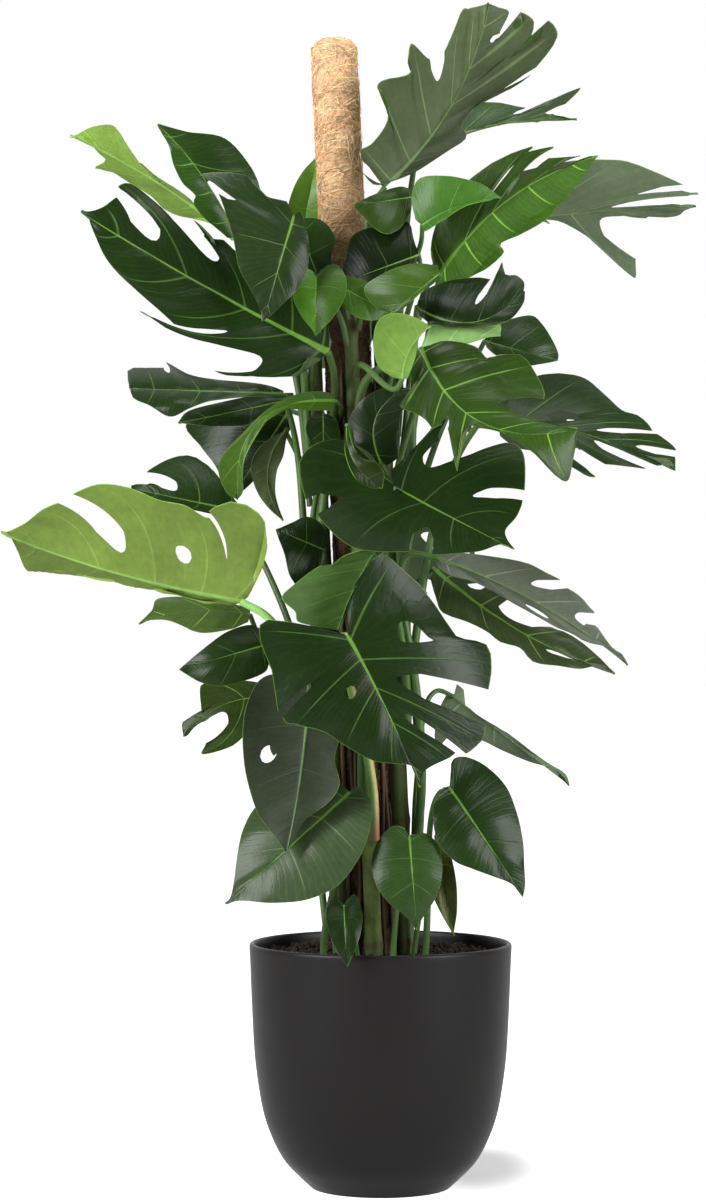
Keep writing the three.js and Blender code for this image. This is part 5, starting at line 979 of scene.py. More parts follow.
        ((0, -37, 886), (0.5, -35, 874), (1, -30, 860), (1.5, -20, 850), (2, -6, 846), (2.6, 4, 832)),
        ((0, -40, 884), (0.5, -42, 872), (1, -41, 858), (1.5, -36, 840), (2, -28, 826), (2.6, -12, 816)),
    ),
    "narrow_right": (
        ((0, 78, 582), (0.3, 67, 560), (0.6, 62, 530), (0.8, 68, 519), (1, 84, 534), (1.3, 112, 528),
         (1.6, 140, 514), (2, 170, 501), (2.4, 196, 494), (2.7, 208, 486)),
        ((0, 88, 590), (0.2, 97, 582), (0.4, 98, 562), (0.8, 115, 551), (1.2, 140, 538), (1.6, 160, 523),
         (2, 180, 508), (2.4, 200, 495), (2.7, 213, 486)),
    ),
    "shaded_centre": (
        ((0, -64, 738), (0.5, -72, 716), (1, -90, 700), (1.5, -104, 714), (2, -110, 738), (2.6, -116, 755)),
        ((0, -60, 752), (0.5, -62, 765), (1, -72, 778), (1.5, -86, 783), (2, -100, 777), (2.6, -113, 771)),
    ),
}

# How each leaf looks: its finish, then what differs from a plain one. Bright is for its upper face and
# under for its lower one, warm (how yellow) and grey (a painted grey-blue sheen) tint both, and pale says
# how plain the side veins are. Left, right and tip brighten that half or end, stalk brightens the stalk,
# and stripe puts a cream stripe on the stalk's right side. A leaf with no row is a plain grown one.
# Bright, under, left, right and tip give a leaf its own tone and also painted light and shade: lighter
# where it lies in light and darker where it lies in shade.
LOOKS = {
    "top": dict(bright=1.8, warm=0.1, grey=0.1, under=0.7, tip=1.5, right=1.5, pale=1.2),
    "crown_right": dict(bright=2.4, grey=0.3, under=1.5, right=1.6),
    "fingered_right": dict(bright=2.3, warm=0.15, right=2.3),
    "far_right": dict(bright=1.6, grey=0.3, under=1.6),
    "crown_left": dict(finish="light", bright=1.6, warm=0.15, tip=1.4),
    "crown_left_dark": dict(bright=1.6, left=1.5),
    "hanging_left": dict(bright=1.3, grey=0.4),
    "crown_slip": dict(finish="mid", bright=2.2, warm=0.2),
    "crown_young": dict(finish="mid", bright=1.4),
    "crown_centre": dict(finish="mid", bright=0.42, warm=0.25),
    "crown_dark": dict(bright=0.5),
    "crown_round": dict(bright=1.3),
    "great_left": dict(bright=1.05),
    "folded_young": dict(finish="mid", bright=0.75, warm=0.15, right=1.8),
    "folded_centre": dict(finish="mid", bright=1.15, warm=0.15),
    "bright_centre": dict(finish="mid", bright=0.8, warm=0.25),
    "glossy_right": dict(bright=0.85),
    # glossy_bright's bright and grey paint a pale sheen on it: a painted highlight.
    "glossy_bright": dict(finish="mid", bright=4.2, grey=0.9),
    "young_front": dict(finish="light", bright=1.25, under=1.1, warm=0.05),
    "sweeping_right": dict(bright=1.8, warm=0.15, tip=1.7, pale=1.3),
    "round_right": dict(bright=2.1, grey=0.4),
    "star_right": dict(bright=1.7, grey=0.3, under=1.3),
    "pleated_left": dict(bright=1.25, grey=0.25),
    "hanging_young": dict(finish="mid", bright=1.2, warm=0.3),
    "hanging_grey": dict(bright=1.8, warm=0.2),
    "small_centre": dict(bright=1.2),
    "claw_left": dict(bright=1.5, grey=0.1),
    "round_centre": dict(bright=0.9),
    "unfurling": dict(finish="mid", bright=0.25, warm=0.3),
    "wide_centre": dict(bright=1.05, pale=0.8),
    "great_pale_left": dict(finish="light", bright=2.0, warm=0.2, grey=0.1, pale=0.6, stalk=4.0),
    # small_left lies in shade, and its bright paints light onto it.
    "small_left": dict(bright=6.5, warm=0.3, grey=0.3),
    "low_left": dict(bright=1.2, warm=0.1),
    "low_left_back": dict(bright=2.0, warm=0.35),
    "pale_centre": dict(finish="mid", bright=1.4, under=1.0, warm=0.1),
    "great_centre": dict(bright=0.95, pale=1.3, stalk=2.2, stripe=0.9),
    "pale_right": dict(bright=1.7, grey=0.6, under=1.75),
    "shaded_right": dict(bright=2.3, warm=0.2, grey=0.6),
    "narrow_right": dict(bright=2.6, grey=0.4, under=2.5),
    "hanging_slit": dict(bright=1.7, grey=0.2, under=0.42, pale=0.5),
    # heart_left's bright and grey paint a grey-blue sheen on it.
    "heart_left": dict(bright=2.9, grey=0.95, pale=0.4),
    "heart_right": dict(bright=1.25, grey=0.1, pale=0.35),
    "heart_front": dict(bright=2.2, grey=0.2, pale=0.35),
    "over_rim": dict(bright=0.8, pale=0.4),
    "old_sheath": dict(bright=3.6, warm=0.7, grey=0.3),
}
PLAIN_LOOK = {
    "finish": "dark", "bright": 1.0, "warm": 0.0, "grey": 0.0, "under": 1.0, "pale": 1.0,
    "left": 1.0, "right": 1.0, "tip": 1.0, "stalk": 1.0, "stripe": 0.0,
}

# Where the parts of a blade are sampled: along a vein, and across a lobe with its side vein halfway.
VEIN_SHARES = np.array([
    0.0, 0.012, 0.026, 0.045, 0.08, 0.12, 0.17, 0.22, 0.27, 0.32, 0.37, 0.42, 0.47, 0.52,
    0.57, 0.62, 0.67, 0.72, 0.77, 0.82, 0.87, 0.91, 0.95, 0.98, 1.0,
])
LOBE_STEPS = np.array(
    [0.0, 0.08, 0.18, 0.3, 0.41, 0.465, 0.5, 0.535, 0.59, 0.7, 0.82, 0.92, 1.0]
)


def half_rows(cuts):
    """Places along the vein for one half, with each cut's ends among them."""
    ends = {cut[key] for cut in cuts for key in ("root", "end")}
    near = [share for share in VEIN_SHARES if all(abs(share - end) > 0.015 for end in ends)]
    steps = [cut["root"] + k for cut in cuts if cut["open"] for k in (0.012, 0.03)]
    spare = [step for step in steps if all(abs(step - other) > 0.008 for other in near + list(ends))]
    return np.array(sorted({*near, *ends, *spare, 0.0, 1.0}))


def blade_sheet(blade):
    """The middle surface of a blade, in millimetres: points, faces and what is known at each point."""
    points, faces, offset = [], [], 0
    known = {"lobe": [], "share": [], "vein_gap": [], "rib_gap": [], "side": []}
    for side in (-1, 1):
        rows = half_rows(blade.cuts[blade.half(side)])
        for lobe in range(blade.lobes):
            share, across = np.meshgrid(rows, LOBE_STEPS, indexing="ij")
            grid, number = blade.in_lobe(side, lobe, across, share)
            width = np.linalg.norm(grid[:, -1] - grid[:, 0], axis=-1)[:, None]
            steps = np.linalg.norm(np.diff(grid, axis=0), axis=-1)
            travelled = np.vstack([np.zeros(grid.shape[1]), np.cumsum(steps, axis=0)])
            points.append(grid.reshape(-1, 3))
            off = np.abs(number - lobe - 0.5)
            spread = np.maximum(np.abs(number[:, -1] - number[:, 0]), 0.1)[:, None]
            found = (number, share, off / spread * width, travelled, side * np.minimum(share * 8, 1))
            for values, grown in zip(known.values(), found):
                values.append(grown.ravel())
            count = grid.shape[1]
            for i in range(len(rows) - 1):
                for j in range(count - 1):
                    a = offset + i * count + j
                    quad = (a, a + count, a + count + 1, a + 1)
                    faces.append(quad if side > 0 else quad[::-1])
            offset += grid.shape[0] * count
    points = np.vstack(points)
    keys = np.round(points, 2)
    _, first, where = np.unique(keys, axis=0, return_index=True, return_inverse=True)
    where = where.ravel()
    merged = []
    for face in faces:
        corners = []
        for corner in (where[i] for i in face):
            if not corners or corners[-1] != corner:
                corners.append(int(corner))
        if corners[0] == corners[-1]:
            corners.pop()
        if len(set(corners)) > 2 and len(set(corners)) == len(corners):
            merged.append(tuple(corners))
    known = {key: np.concatenate(values)[first] for key, values in known.items()}
    return points[first], merged, known


def surface_normals(points, faces):
    normals = np.zeros_like(points)
    for face in faces:
        corners = points[list(face)]
        turn = np.cross(corners[1] - corners[0], corners[2] - corners[0])
        if len(face) == 4:
            turn = turn + np.cross(corners[2] - corners[0], corners[3] - corners[0])
        normals[list(face)] += turn
    return unit(normals)


def rim_edges(faces):
    """Edges with a face on one side alone, in their face's direction."""
    edges = {}
    for face in faces:
        for i, a in enumerate(face):
            b = face[(i + 1) % len(face)]
            if edges.pop((b, a), None) is None:
                edges[(a, b)] = True
    return list(edges)


# A grown leaf's rib and side veins: what half their width gains at the thick end and has at the thin
# end, then how far they stand out below and sink in above, all in millimetres.
GROWN_LENGTH = 250.0
RIB = {"thick": 4.2, "thin": 0.8, "below": 1.2, "groove": 0.5}
VEIN = {"thick": 1.25, "thin": 0.25, "below": 0.5, "groove": 0.3}


def blade_shell(blade, relief):
    """Both faces and the rim of a blade, with its rib and side veins raised on the underside."""
    points, faces, known = blade_sheet(blade)
    normals = surface_normals(points, faces)
    toward_tip = np.clip(known["lobe"] / blade.lobes, 0, 1)
    share = known["share"]
    size = np.clip(blade.length / GROWN_LENGTH, 0.35, 1.2)
    rib_width = (RIB["thick"] * (1 - toward_tip) ** 1.5 + RIB["thin"]) * size
    vein_width = (VEIN["thick"] * (1 - 0.7 * share) + VEIN["thin"]) * size
    rib = np.exp(-((known["rib_gap"] / rib_width) ** 2))
    vein = np.exp(-((known["vein_gap"] / vein_width) ** 2)) * (1 - share**3)
    turn = 2 * np.pi * known["lobe"]
    pillow = (0.7 * np.cos(turn) + 0.3 * np.cos(2 * turn)) * np.sqrt(share) * (1 - share**4)
    swell = relief / MM * size * pillow
    x, z = points[:, 0], points[:, 2]
    wander = 2.0 * np.sin(x / 19.0 + z / 27.0) + np.sin(z / 11.0 + 5 * toward_tip)
    middle = points + normals * (swell + wander * size * share)[:, None]
    half = BLADE_THICKNESS / 2
    upper = middle + normals * (half - RIB["groove"] * rib * size - VEIN["groove"] * vein)[:, None]
    under = middle - normals * (half + RIB["below"] * rib * size + VEIN["below"] * vein)[:, None]
    count = len(points)
    solid_faces = list(faces) + [tuple(count + i for i in reversed(face)) for face in faces]
    for a, b in rim_edges(faces):
        solid_faces.append((a, count + a, count + b, b))
    return np.vstack([upper, under]), solid_faces, known, rib_width, vein_width


# Stalks

BALL_SPACING = 6.0
CLEARANCE = 1.2
STALK_STEPS = 7
STALK_SIDES = 12


class Standing:
    """Balls along the pole, the stems and the stalks made so far, which a new stalk is bent clear of."""

    def __init__(self):
        self.at = np.zeros((0, 3))
        self.radius = np.zeros(0)
        self.along([pole_at(POLE_FOOT[2]), POLE_TOP], [POLE_RADIUS] * 2)
        for name, stem in STEMS.items():
            heights = [STEM_FOOT + k * (stem["top"] - STEM_FOOT) for k in (0, 0.25, 0.5, 0.75, 1)]
            self.along([stem_at(name, z) for z in heights], [STEM_RADIUS + 1] * 5)

    def along(self, points, radii):
        for i in range(len(points) - 1):
            steps = int(np.ceil(np.linalg.norm(points[i + 1] - points[i]) / BALL_SPACING))
            shares = np.arange(steps) / steps
            self.at = np.vstack([self.at, lerp(points[i], points[i + 1], shares[:, None])])
            self.radius = np.concatenate([self.radius, lerp(radii[i], radii[i + 1], shares)])

    def bend_clear(self, points, radii):
        """Moves the inner points of a stalk off what stands in its way."""
        low, high = points[:, 2].min() - 20, points[:, 2].max() + 20
        near = (self.at[:, 2] > low) & (self.at[:, 2] < high)
        balls, sizes = self.at[near], self.radius[near]
        shifts = np.zeros_like(points)
        last = len(points) - 1
        for _ in range(60):
            moved = False
            for i in range(last):
                for share in (0, 0.25, 0.5, 0.75):
                    here = lerp(points[i] + shifts[i], points[i + 1] + shifts[i + 1], share)
                    radius = lerp(radii[i], radii[i + 1], share) + CLEARANCE
                    gaps = np.linalg.norm(here - balls, axis=1)
                    for k in np.nonzero(gaps < radius + sizes + 15)[0]:
                        away = here - balls[k]
                        gap = np.linalg.norm(away)
                        short = radius + sizes[k] - gap
                        if short <= 0:
                            continue
                        away = away * (0.6 * short / gap)
                        if i > 0:
                            shifts[i] += away * (1 - share)
                        if i + 1 < last:
                            shifts[i + 1] += away * share
                        here = here + away * 0.5
                        moved = True
            if not moved:
                break
            for i in range(1, last):
                shifts[i] = lerp(shifts[i], (shifts[i - 1] + shifts[i + 1]) / 2, 0.15)
        return points + shifts


def stalk_path(blade, standing):
    """A stalk leaves its stem, or the soil, rises and bends over to the blade."""
    leaf = blade.leaf
    way = bearing_way(leaf["bearing"])
    if leaf["stem"]:
        out = stem_radius(leaf["stem"], leaf["start"]) + 1.5 * leaf["stalk"] + 1.5
        foot = stem_at(leaf["stem"], leaf["start"]) + way * out
    else:
        foot = np.array(leaf["start"], dtype=float)
    at, along, _, up = blade.frame(0.0)
    climb = unit(np.array([0.0, 0.0, 1.0]) + way * leaf["lean"])
    reach = np.linalg.norm(foot - at)
    back = unit(along * leaf["arrive"][0] + up * leaf["arrive"][1])
    a, b, c, d = foot, foot + climb * leaf["rise"] * reach, at - back * leaf["bend"] * reach, at
    t = (np.arange(STALK_STEPS + 1) / STALK_STEPS)[:, None]
    path = a * (1 - t) ** 3 + b * 3 * t * (1 - t) ** 2 + c * 3 * t**2 * (1 - t) + d * t**3
    radii = leaf["stalk"] * (1.5 - 0.5 * t[:, 0])
    path = standing.bend_clear(path, radii)
    standing.along(path, radii)
    return path, radii


# Shader nodes


class Nodes:
    """Adds nodes to a tree and joins them."""

    def __init__(self, tree):
        self.tree = tree

    def add(self, kind, settings=None, **inputs):
        node = self.tree.nodes.new(kind)
        for key, value in (settings or {}).items():
            setattr(node, key, value)
        for key, value in inputs.items():
            self.feed(node.inputs[key.replace("_", " ")], value)
        return node

    def feed(self, socket, value):
        if isinstance(value, bpy.types.NodeSocket):
            self.tree.links.new(value, socket)
        else:
            socket.default_value = value

    def math(self, operation, *values):
        node = self.tree.nodes.new("ShaderNodeMath")
        node.operation = operation
        for socket, value in zip(node.inputs, values):
            self.feed(socket, value)
        return node.outputs[0]

    def plus(self, a, b):
        return self.math("ADD", a, b)

    def less(self, a, b):
        return self.math("SUBTRACT", a, b)

    def times(self, a, b):
        return self.math("MULTIPLY", a, b)

    def between(self, value, low, high, to_low=0.0, to_high=1.0):
        """A smooth step from one number to another as a value goes from low to high."""
        node = self.tree.nodes.new("ShaderNodeMapRange")
        node.interpolation_type = "SMOOTHSTEP"
        for socket, given in zip(node.inputs, (value, low, high, to_low, to_high)):
            self.feed(socket, given)
        return node.outputs[0]

    def mix(self, share, a, b, blend="MIX"):
        node = self.tree.nodes.new("ShaderNodeMix")
        node.data_type = "RGBA"
        node.blend_type = blend
        self.feed(node.inputs["Factor"], share)
        self.feed(node.inputs[6], a)
        self.feed(node.inputs[7], b)
        return node.outputs[2]

    def noise(self, vector, scale, detail=3.0, rough=0.55, distortion=0.0):
        node = self.tree.nodes.new("ShaderNodeTexNoise")
        self.feed(node.inputs["Vector"], vector)
        self.feed(node.inputs["Scale"], scale)
        self.feed(node.inputs["Detail"], detail)
        self.feed(node.inputs["Roughness"], rough)
        self.feed(node.inputs["Distortion"], distortion)
        return node.outputs["Fac"]

    def stretched(self, vector, scale):
        node = self.tree.nodes.new("ShaderNodeMapping")
        self.feed(node.inputs["Vector"], vector)
        self.feed(node.inputs["Scale"], scale)
        return node.outputs["Vector"]

    def attribute(self, name, output="Fac"):
        node = self.tree.nodes.new("ShaderNodeAttribute")
        node.attribute_name = name
        return node.outputs[output]

    def place(self):
        node = self.tree.nodes.new("ShaderNodeTexCoord")
        return node.outputs["Object"]

    def bump(self, height, distance, strength):
        node = self.tree.nodes.new("ShaderNodeBump")
        self.feed(node.inputs["Height"], height)
        node.inputs["Distance"].default_value = distance
        node.inputs["Strength"].default_value = strength
        return node.outputs["Normal"]


def new_material(name):
    """An empty material with its output and one Principled BSDF."""
    material = bpy.data.materials.new(name)
    material.use_nodes = True
    tree = material.node_tree
    tree.nodes.clear()
    out = tree.nodes.new("ShaderNodeOutputMaterial")
    shader = tree.nodes.new("ShaderNodeBsdfPrincipled")
    tree.links.new(shader.outputs["BSDF"], out.inputs["Surface"])
    return material, Nodes(tree), shader


def new_group(name, inputs, outputs):
    """A shader node group with named sockets: (name, kind, default) in, (name, kind) out."""
    group = bpy.data.node_groups.new(name, "ShaderNodeTree")
    for label, kind, default in inputs:
        socket = group.interface.new_socket(name=label, in_out="INPUT", socket_type=f"NodeSocket{kind}")
        socket.default_value = default
    for label, kind in outputs:
        group.interface.new_socket(name=label, in_out="OUTPUT", socket_type=f"NodeSocket{kind}")
    made = Nodes(group)
    start = group.nodes.new("NodeGroupInput").outputs
    end = group.nodes.new("NodeGroupOutput").inputs
    return group, made, start, end


def use_group(nodes, group, **inputs):
    node = nodes.tree.nodes.new("ShaderNodeGroup")
    node.node_tree = group
    for key, value in inputs.items():
        nodes.feed(node.inputs[key.replace("_", " ").capitalize()], value)
    return node.outputs


def mottle_group():
    """Uneven tone: soft patches with finer specks in them, about 1."""
    if "Mottle" in bpy.data.node_groups:
        return bpy.data.node_groups["Mottle"]
    inputs = [("Vector", "Vector", (0, 0, 0)), ("Patch scale", "Float", 20.0), ("Amount", "Float", 0.2)]
    group, nodes, start, end = new_group("Mottle", inputs, [("Tone", "Float")])
    patches = nodes.noise(start["Vector"], start["Patch scale"], 3.0)
    specks = nodes.noise(start["Vector"], nodes.times(start["Patch scale"], 9.0), 2.0)
    both = nodes.plus(nodes.times(patches, 1.3), nodes.times(specks, 0.7))
    uneven = nodes.times(nodes.less(both, 1.0), start["Amount"])
    nodes.feed(end["Tone"], nodes.plus(nodes.times(uneven, 2.0), 1.0))
    return group


def toned(nodes, shader, color, patch_scale, amount):
    """Gives a shader a base colour whose tone is uneven."""
    tone = use_group(nodes, mottle_group(), vector=nodes.place(), patch_scale=patch_scale, amount=amount)
    grey = nodes.add("ShaderNodeCombineColor", Red=tone["Tone"], Green=tone["Tone"], Blue=tone["Tone"])
    nodes.feed(shader.inputs["Base Color"], nodes.mix(1.0, color, grey.outputs[0], "MULTIPLY"))


def scaled(color, factor, plus=(0.0, 0.0, 0.0)):
    """A colour times a factor, plus another one."""
    return (*(min(1.0, factor * c + d) for c, d in zip(color, plus)), 1.0)


def vein_group():
    """Masks of the rib, the side veins and the fine veins, from what a blade stores at its points."""
    if "Leaf veins" in bpy.data.node_groups:
        return bpy.data.node_groups["Leaf veins"]
    outputs = [("Rib", "Float"), ("Veins", "Float"), ("Fine", "Float"), ("Edge", "Float")]
    group, nodes, start, end = new_group("Leaf veins", [("Vector", "Vector", (0, 0, 0))], outputs)
    rib_gap = nodes.attribute("rib_gap")
    vein_gap = nodes.attribute("vein_gap")
    share = nodes.attribute("share")
    lobe = nodes.attribute("lobe")
    rib = nodes.between(rib_gap, 0.5, 1.0, 1.0, 0.0)
    side = nodes.between(vein_gap, 0.4, 1.2, 1.0, 0.0)
    fade = nodes.between(share, 0.6, 1.0, 1.0, 0.1)
    nodes.feed(end["Rib"], rib)
    nodes.feed(end["Veins"], nodes.times(side, fade))
    wobble = nodes.times(nodes.noise(start["Vector"], 60.0, 2.0), 0.16)
    across = nodes.times(nodes.plus(lobe, wobble), 9.0)
    tooth = nodes.math("ABSOLUTE", nodes.less(nodes.math("FRACT", across), 0.5))
    nodes.feed(end["Fine"], nodes.between(tooth, 0.0, 0.2, 1.0, 0.0))
    nodes.feed(end["Edge"], nodes.between(share, 0.985, 1.0))
    return group


def leaf_material(finish, color, under):
    """Leaf skin. The upper and under face, and each leaf's own tint with its painted light, shade and sheen,
    come from the blade's points.
    """
    name = f"{finish}_leaf_skin"
    if name in bpy.data.materials:
        return bpy.data.materials[name]
    material, nodes, shader = new_material(name)
    place = nodes.place()
    veins = use_group(nodes, vein_group(), vector=place)
    below = nodes.attribute("under")
    pale = scaled(color, 1.2, (0.06, 0.13, 0.02))
    bright = scaled(color, 1.2, (0.15, 0.31, 0.04))
    pale_under = scaled(under, 1.3, (0.08, 0.13, 0.05))
    deep = nodes.mix(nodes.noise(place, 9.0, 3.0), scaled(color, 0.72), (*color, 1))
    skin = nodes.mix(nodes.times(veins["Fine"], 0.045), deep, pale)
    seen_veins = nodes.times(veins["Veins"], nodes.attribute("pale"))
    seen_veins = nodes.times(seen_veins, 0.6)
    skin = nodes.mix(seen_veins, skin, pale)
    back = nodes.mix(nodes.times(veins["Fine"], 0.06), (*under, 1), pale_under)
    back = nodes.mix(seen_veins, back, pale_under)
    face = nodes.mix(below, skin, back)
    # The tint carries each leaf's tone and its painted light, shade and sheen.
    face = nodes.mix(1.0, face, nodes.attribute("tint", "Color"), "MULTIPLY")
    rib = nodes.mix(below, bright, pale_under)
    face = nodes.mix(nodes.times(veins["Rib"], 0.85), face, rib)
    face = nodes.mix(nodes.times(veins["Edge"], 0.6), face, bright)
    toned(nodes, shader, face, 14.0, 0.3)
    rough = nodes.plus(GLOSS[finish], nodes.times(nodes.noise(place, 30.0, 4.0), 0.14))
    rough = nodes.plus(rough, nodes.times(veins["Veins"], 0.1))
    rough = nodes.plus(rough, nodes.times(below, 0.22))
    nodes.feed(shader.inputs["Roughness"], rough)
    relief = nodes.times(nodes.noise(place, 60.0, 3.0), 1.6)
    relief = nodes.less(relief, nodes.times(veins["Fine"], 0.25))
    relief = nodes.less(relief, nodes.times(veins["Veins"], 0.8))
    nodes.feed(shader.inputs["Normal"], nodes.bump(relief, 0.0006, 0.45))
    shader.inputs["Specular IOR Level"].default_value = 0.24
    return material


def stalk_material(settings):
    """Smooth stalks: green, browner at the foot, with fine lengthwise streaks."""
    if "stalk_skin" in bpy.data.materials:
        return bpy.data.materials["stalk_skin"]
    material, nodes, shader = new_material("stalk_skin")
    place = nodes.place()
    streaks = nodes.noise(nodes.stretched(place, (300.0, 300.0, 12.0)), 1.0, 3.0)
    foot = nodes.between(nodes.attribute("share"), 0.0, 0.12, 1.0, 0.0)
    green = scaled(settings.stalk, 1.0)
    skin = nodes.mix(nodes.times(streaks, 0.55), green, scaled(settings.stalk, 1.7))
    skin = nodes.mix(nodes.times(foot, 0.7), skin, (*settings.brown, 1))
    skin = nodes.mix(1.0, skin, nodes.attribute("tint", "Color"), "MULTIPLY")
    toned(nodes, shader, skin, 25.0, 0.25)
    nodes.feed(shader.inputs["Roughness"], nodes.plus(0.36, nodes.times(streaks, 0.15)))
    nodes.feed(shader.inputs["Normal"], nodes.bump(streaks, 0.0003, 0.5))
    return material


# Leaf pieces

# The least roughness of each finish
GLOSS = {"dark": 0.23, "mid": 0.25, "light": 0.33}
CREAM = np.array((0.75, 0.6, 0.25))


def face_tints(look, known, lobes):
    """The tints of a blade's upper and under points: its own tone, with painted light, shade and sheen in
    it.
    """
    tone = lerp(look["left"], look["right"], (known["side"] + 1) / 2)
    tone = tone * lerp(1.0, look["tip"], np.clip(known["lobe"] / lobes, 0, 1) ** 2)
    # grey mixes in a painted grey-blue sheen.
    warm, grey = look["warm"], look["grey"]
    hue = [1 + warm + 0.6 * grey, 1.0, 1 - 0.5 * warm + 1.6 * grey]
    fresh = np.stack([np.ones(len(tone)), tone**0.2, tone**-0.6], axis=1)
    return np.outer(tone * look["bright"], hue) * fresh, np.outer(tone * look["under"], hue)


def stalk_tints(look, points, line, sizes, green):
    """The tints of a stalk's points."""
    plain = np.full((len(points), 3), look["stalk"])
    if not look["stripe"]:
        return plain
    right = (points - np.repeat(line, STALK_SIDES, axis=0))[:, 0] / np.repeat(sizes, STALK_SIDES)
    return lerp(plain, CREAM / np.array(green), np.clip(right * 4, 0, 1)[:, None] * look["stripe"])


def build_leaf(name, row, standing, scene):
    """One leaf: its blade and its stalk in one mesh."""
    blade = Blade(row, MARGINS.get(name))
    leaf_look = scene.plant_leaf
    look = {**PLAIN_LOOK, **LOOKS.get(name, {})}
    finish = look["finish"]
    shell, faces, known, rib_width, vein_width = blade_shell(blade, leaf_look.relief)
    path, radii = stalk_path(blade, standing)
    line = smooth_path(path, 5)
    sizes = np.interp(np.linspace(0, 1, len(line)), np.linspace(0, 1, len(radii)), radii)
    stalk, stalk_faces, along = tube(line, sizes, STALK_SIDES)
    points, all_faces = joined([(shell, faces), (stalk, stalk_faces)])
    piece = made_object(f"{name}_leaf", points * MM, all_faces, 50)
    half, extra = len(shell) // 2, len(stalk)
    plain = np.full(extra, 9.0)
    vein = known["vein_gap"] / vein_width
    rib = known["rib_gap"] / rib_width
    for key, blade_values, stalk_values in (
        ("lobe", known["lobe"], along),
        ("share", known["share"], along),
        ("vein_gap", vein, plain),
        ("rib_gap", rib, plain),
    ):
        point_numbers(piece, key, np.concatenate([blade_values, blade_values, stalk_values]))
    point_numbers(piece, "under", np.concatenate([np.zeros(half), np.ones(half), np.zeros(extra)]))
    point_numbers(piece, "pale", np.full(len(points), look["pale"]))
    upper, lower = face_tints(look, known, blade.lobes)
    stalk_tint = stalk_tints(look, stalk, line, sizes, scene.plant_stem.stalk)
    point_colors(piece, "tint", np.vstack([upper, lower, stalk_tint]))
    color = tuple(getattr(leaf_look, finish))
    under = tuple(leaf_look.under)
    if finish == "light":
        under = tuple(0.9 * c for c in color)
    if finish == "mid":
        under = tuple(0.7 * c + 0.3 * d for c, d in zip(color, under))
    piece.data.materials.append(leaf_material(finish, color, under))
    piece.data.materials.append(stalk_material(scene.plant_stem))
    slots = np.zeros(len(piece.data.polygons), dtype=np.int32)
    slots[len(faces) :] = 1
    piece.data.polygons.foreach_set("material_index", slots)
    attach(piece, "root")
    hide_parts(f"leaf_{name}")
    return piece


class PLANT_OT_leaves(bpy.types.Operator):
    """Build every leaf with its stalk"""

    bl_idname = "plant.leaves"
    bl_label = "Leaves"

    def execute(self, context):
        standing = Standing()
        for name, row in LEAVES.items():
            build_leaf(name, row, standing, context.scene)
        return {"FINISHED"}


# Pot, soil, pole and stems

# How far the pot's lip lies inside its greatest radius, and how far below its top
LIP = [(0.2, 2.4), (0.8, 1.2), (1.7, 0.3), (2.8, 0.0), (4.2, 0.3), (5.3, 1.2), (POT_WALL, 2.8)]


def ring_profile():
    """The pot's wall from the foot's edge up, over the lip and down inside: radius and height."""
    side = [
        (FOOT_RADIUS, 0.0), (95.0, 14.0), (110.0, 30.0), (122.5, 52.0), (133.0, 80.0), (139.5, 112.0),
        (144.5, 152.0), (147.5, 205.0), (149.5, 255.0), (POT_RADIUS, POT_HEIGHT - 4),
    ]
    outside = smooth_path(np.array(side), 4)
    lip = [(POT_RADIUS - inward, POT_HEIGHT - down) for inward, down in LIP]
    inside = [(r - POT_WALL, z) for r, z in outside[::-1] if POT_WALL + 4 < z < POT_HEIGHT - 6]
    inside.append((outside[3][0] - POT_WALL - 2, POT_WALL))
    return [(r * MM, z * MM) for r, z in [*outside, *lip, *inside]]


def turned_piece(name, rings, sides):
    """A piece turned about +Z: a disc that is extruded and resized from ring to ring."""
    bpy.ops.object.select_all(action="DESELECT")
    radius, height = rings[0]
    bpy.ops.mesh.primitive_circle_add(
        vertices=sides, radius=radius, fill_type="NGON", location=(0, 0, height)
    )
    piece = bpy.context.object
    piece.name = name
    piece.data.name = name
    bpy.ops.object.transform_apply(location=True, rotation=True, scale=True)
    bpy.ops.object.mode_set(mode="EDIT")
    bpy.ops.mesh.select_all(action="SELECT")
    for wide, high in rings[1:]:
        bpy.ops.mesh.extrude_region_move(TRANSFORM_OT_translate={"value": (0, 0, high - height)})
        share = wide / radius
        bpy.ops.transform.resize(value=(share, share, 1), center_override=(0, 0, high))
        radius, height = wide, high
    bpy.ops.mesh.select_all(action="SELECT")
    bpy.ops.mesh.normals_make_consistent(inside=False)
    bpy.ops.object.mode_set(mode="OBJECT")
    return piece


def pot_material(settings):
    """Matt, near-black plastic with a fine grain and faint rubbed patches."""
    material, nodes, shader = new_material("pot")
    place = nodes.place()
    toned(nodes, shader, (*settings.color, 1), 6.0, 0.06)
    rubbed = nodes.noise(place, 9.0, 5.0, 0.6)
    rough = nodes.plus(settings.roughness - 0.06, nodes.times(rubbed, 0.12))
    nodes.feed(shader.inputs["Roughness"], rough)
    shader.inputs["Specular IOR Level"].default_value = 0.3
    shader.inputs["Sheen Weight"].default_value = 0.25
    shader.inputs["Sheen Roughness"].default_value = 0.3
    grain = nodes.noise(place, 1400.0, 2.0)
    nodes.feed(shader.inputs["Normal"], nodes.bump(grain, 0.00012, 0.35))
    return material


class PLANT_OT_pot(bpy.types.Operator):
    """Build the smooth turned pot"""

    bl_idname = "plant.pot"
    bl_label = "Pot"

    def execute(self, context):
        settings = context.scene.plant_pot
        piece = turned_piece("pot_body", ring_profile(), settings.sides)
        smooth(piece, 40)
        dress(piece, pot_material(settings))
        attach(piece, "root")
        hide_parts("pot")
        return {"FINISHED"}


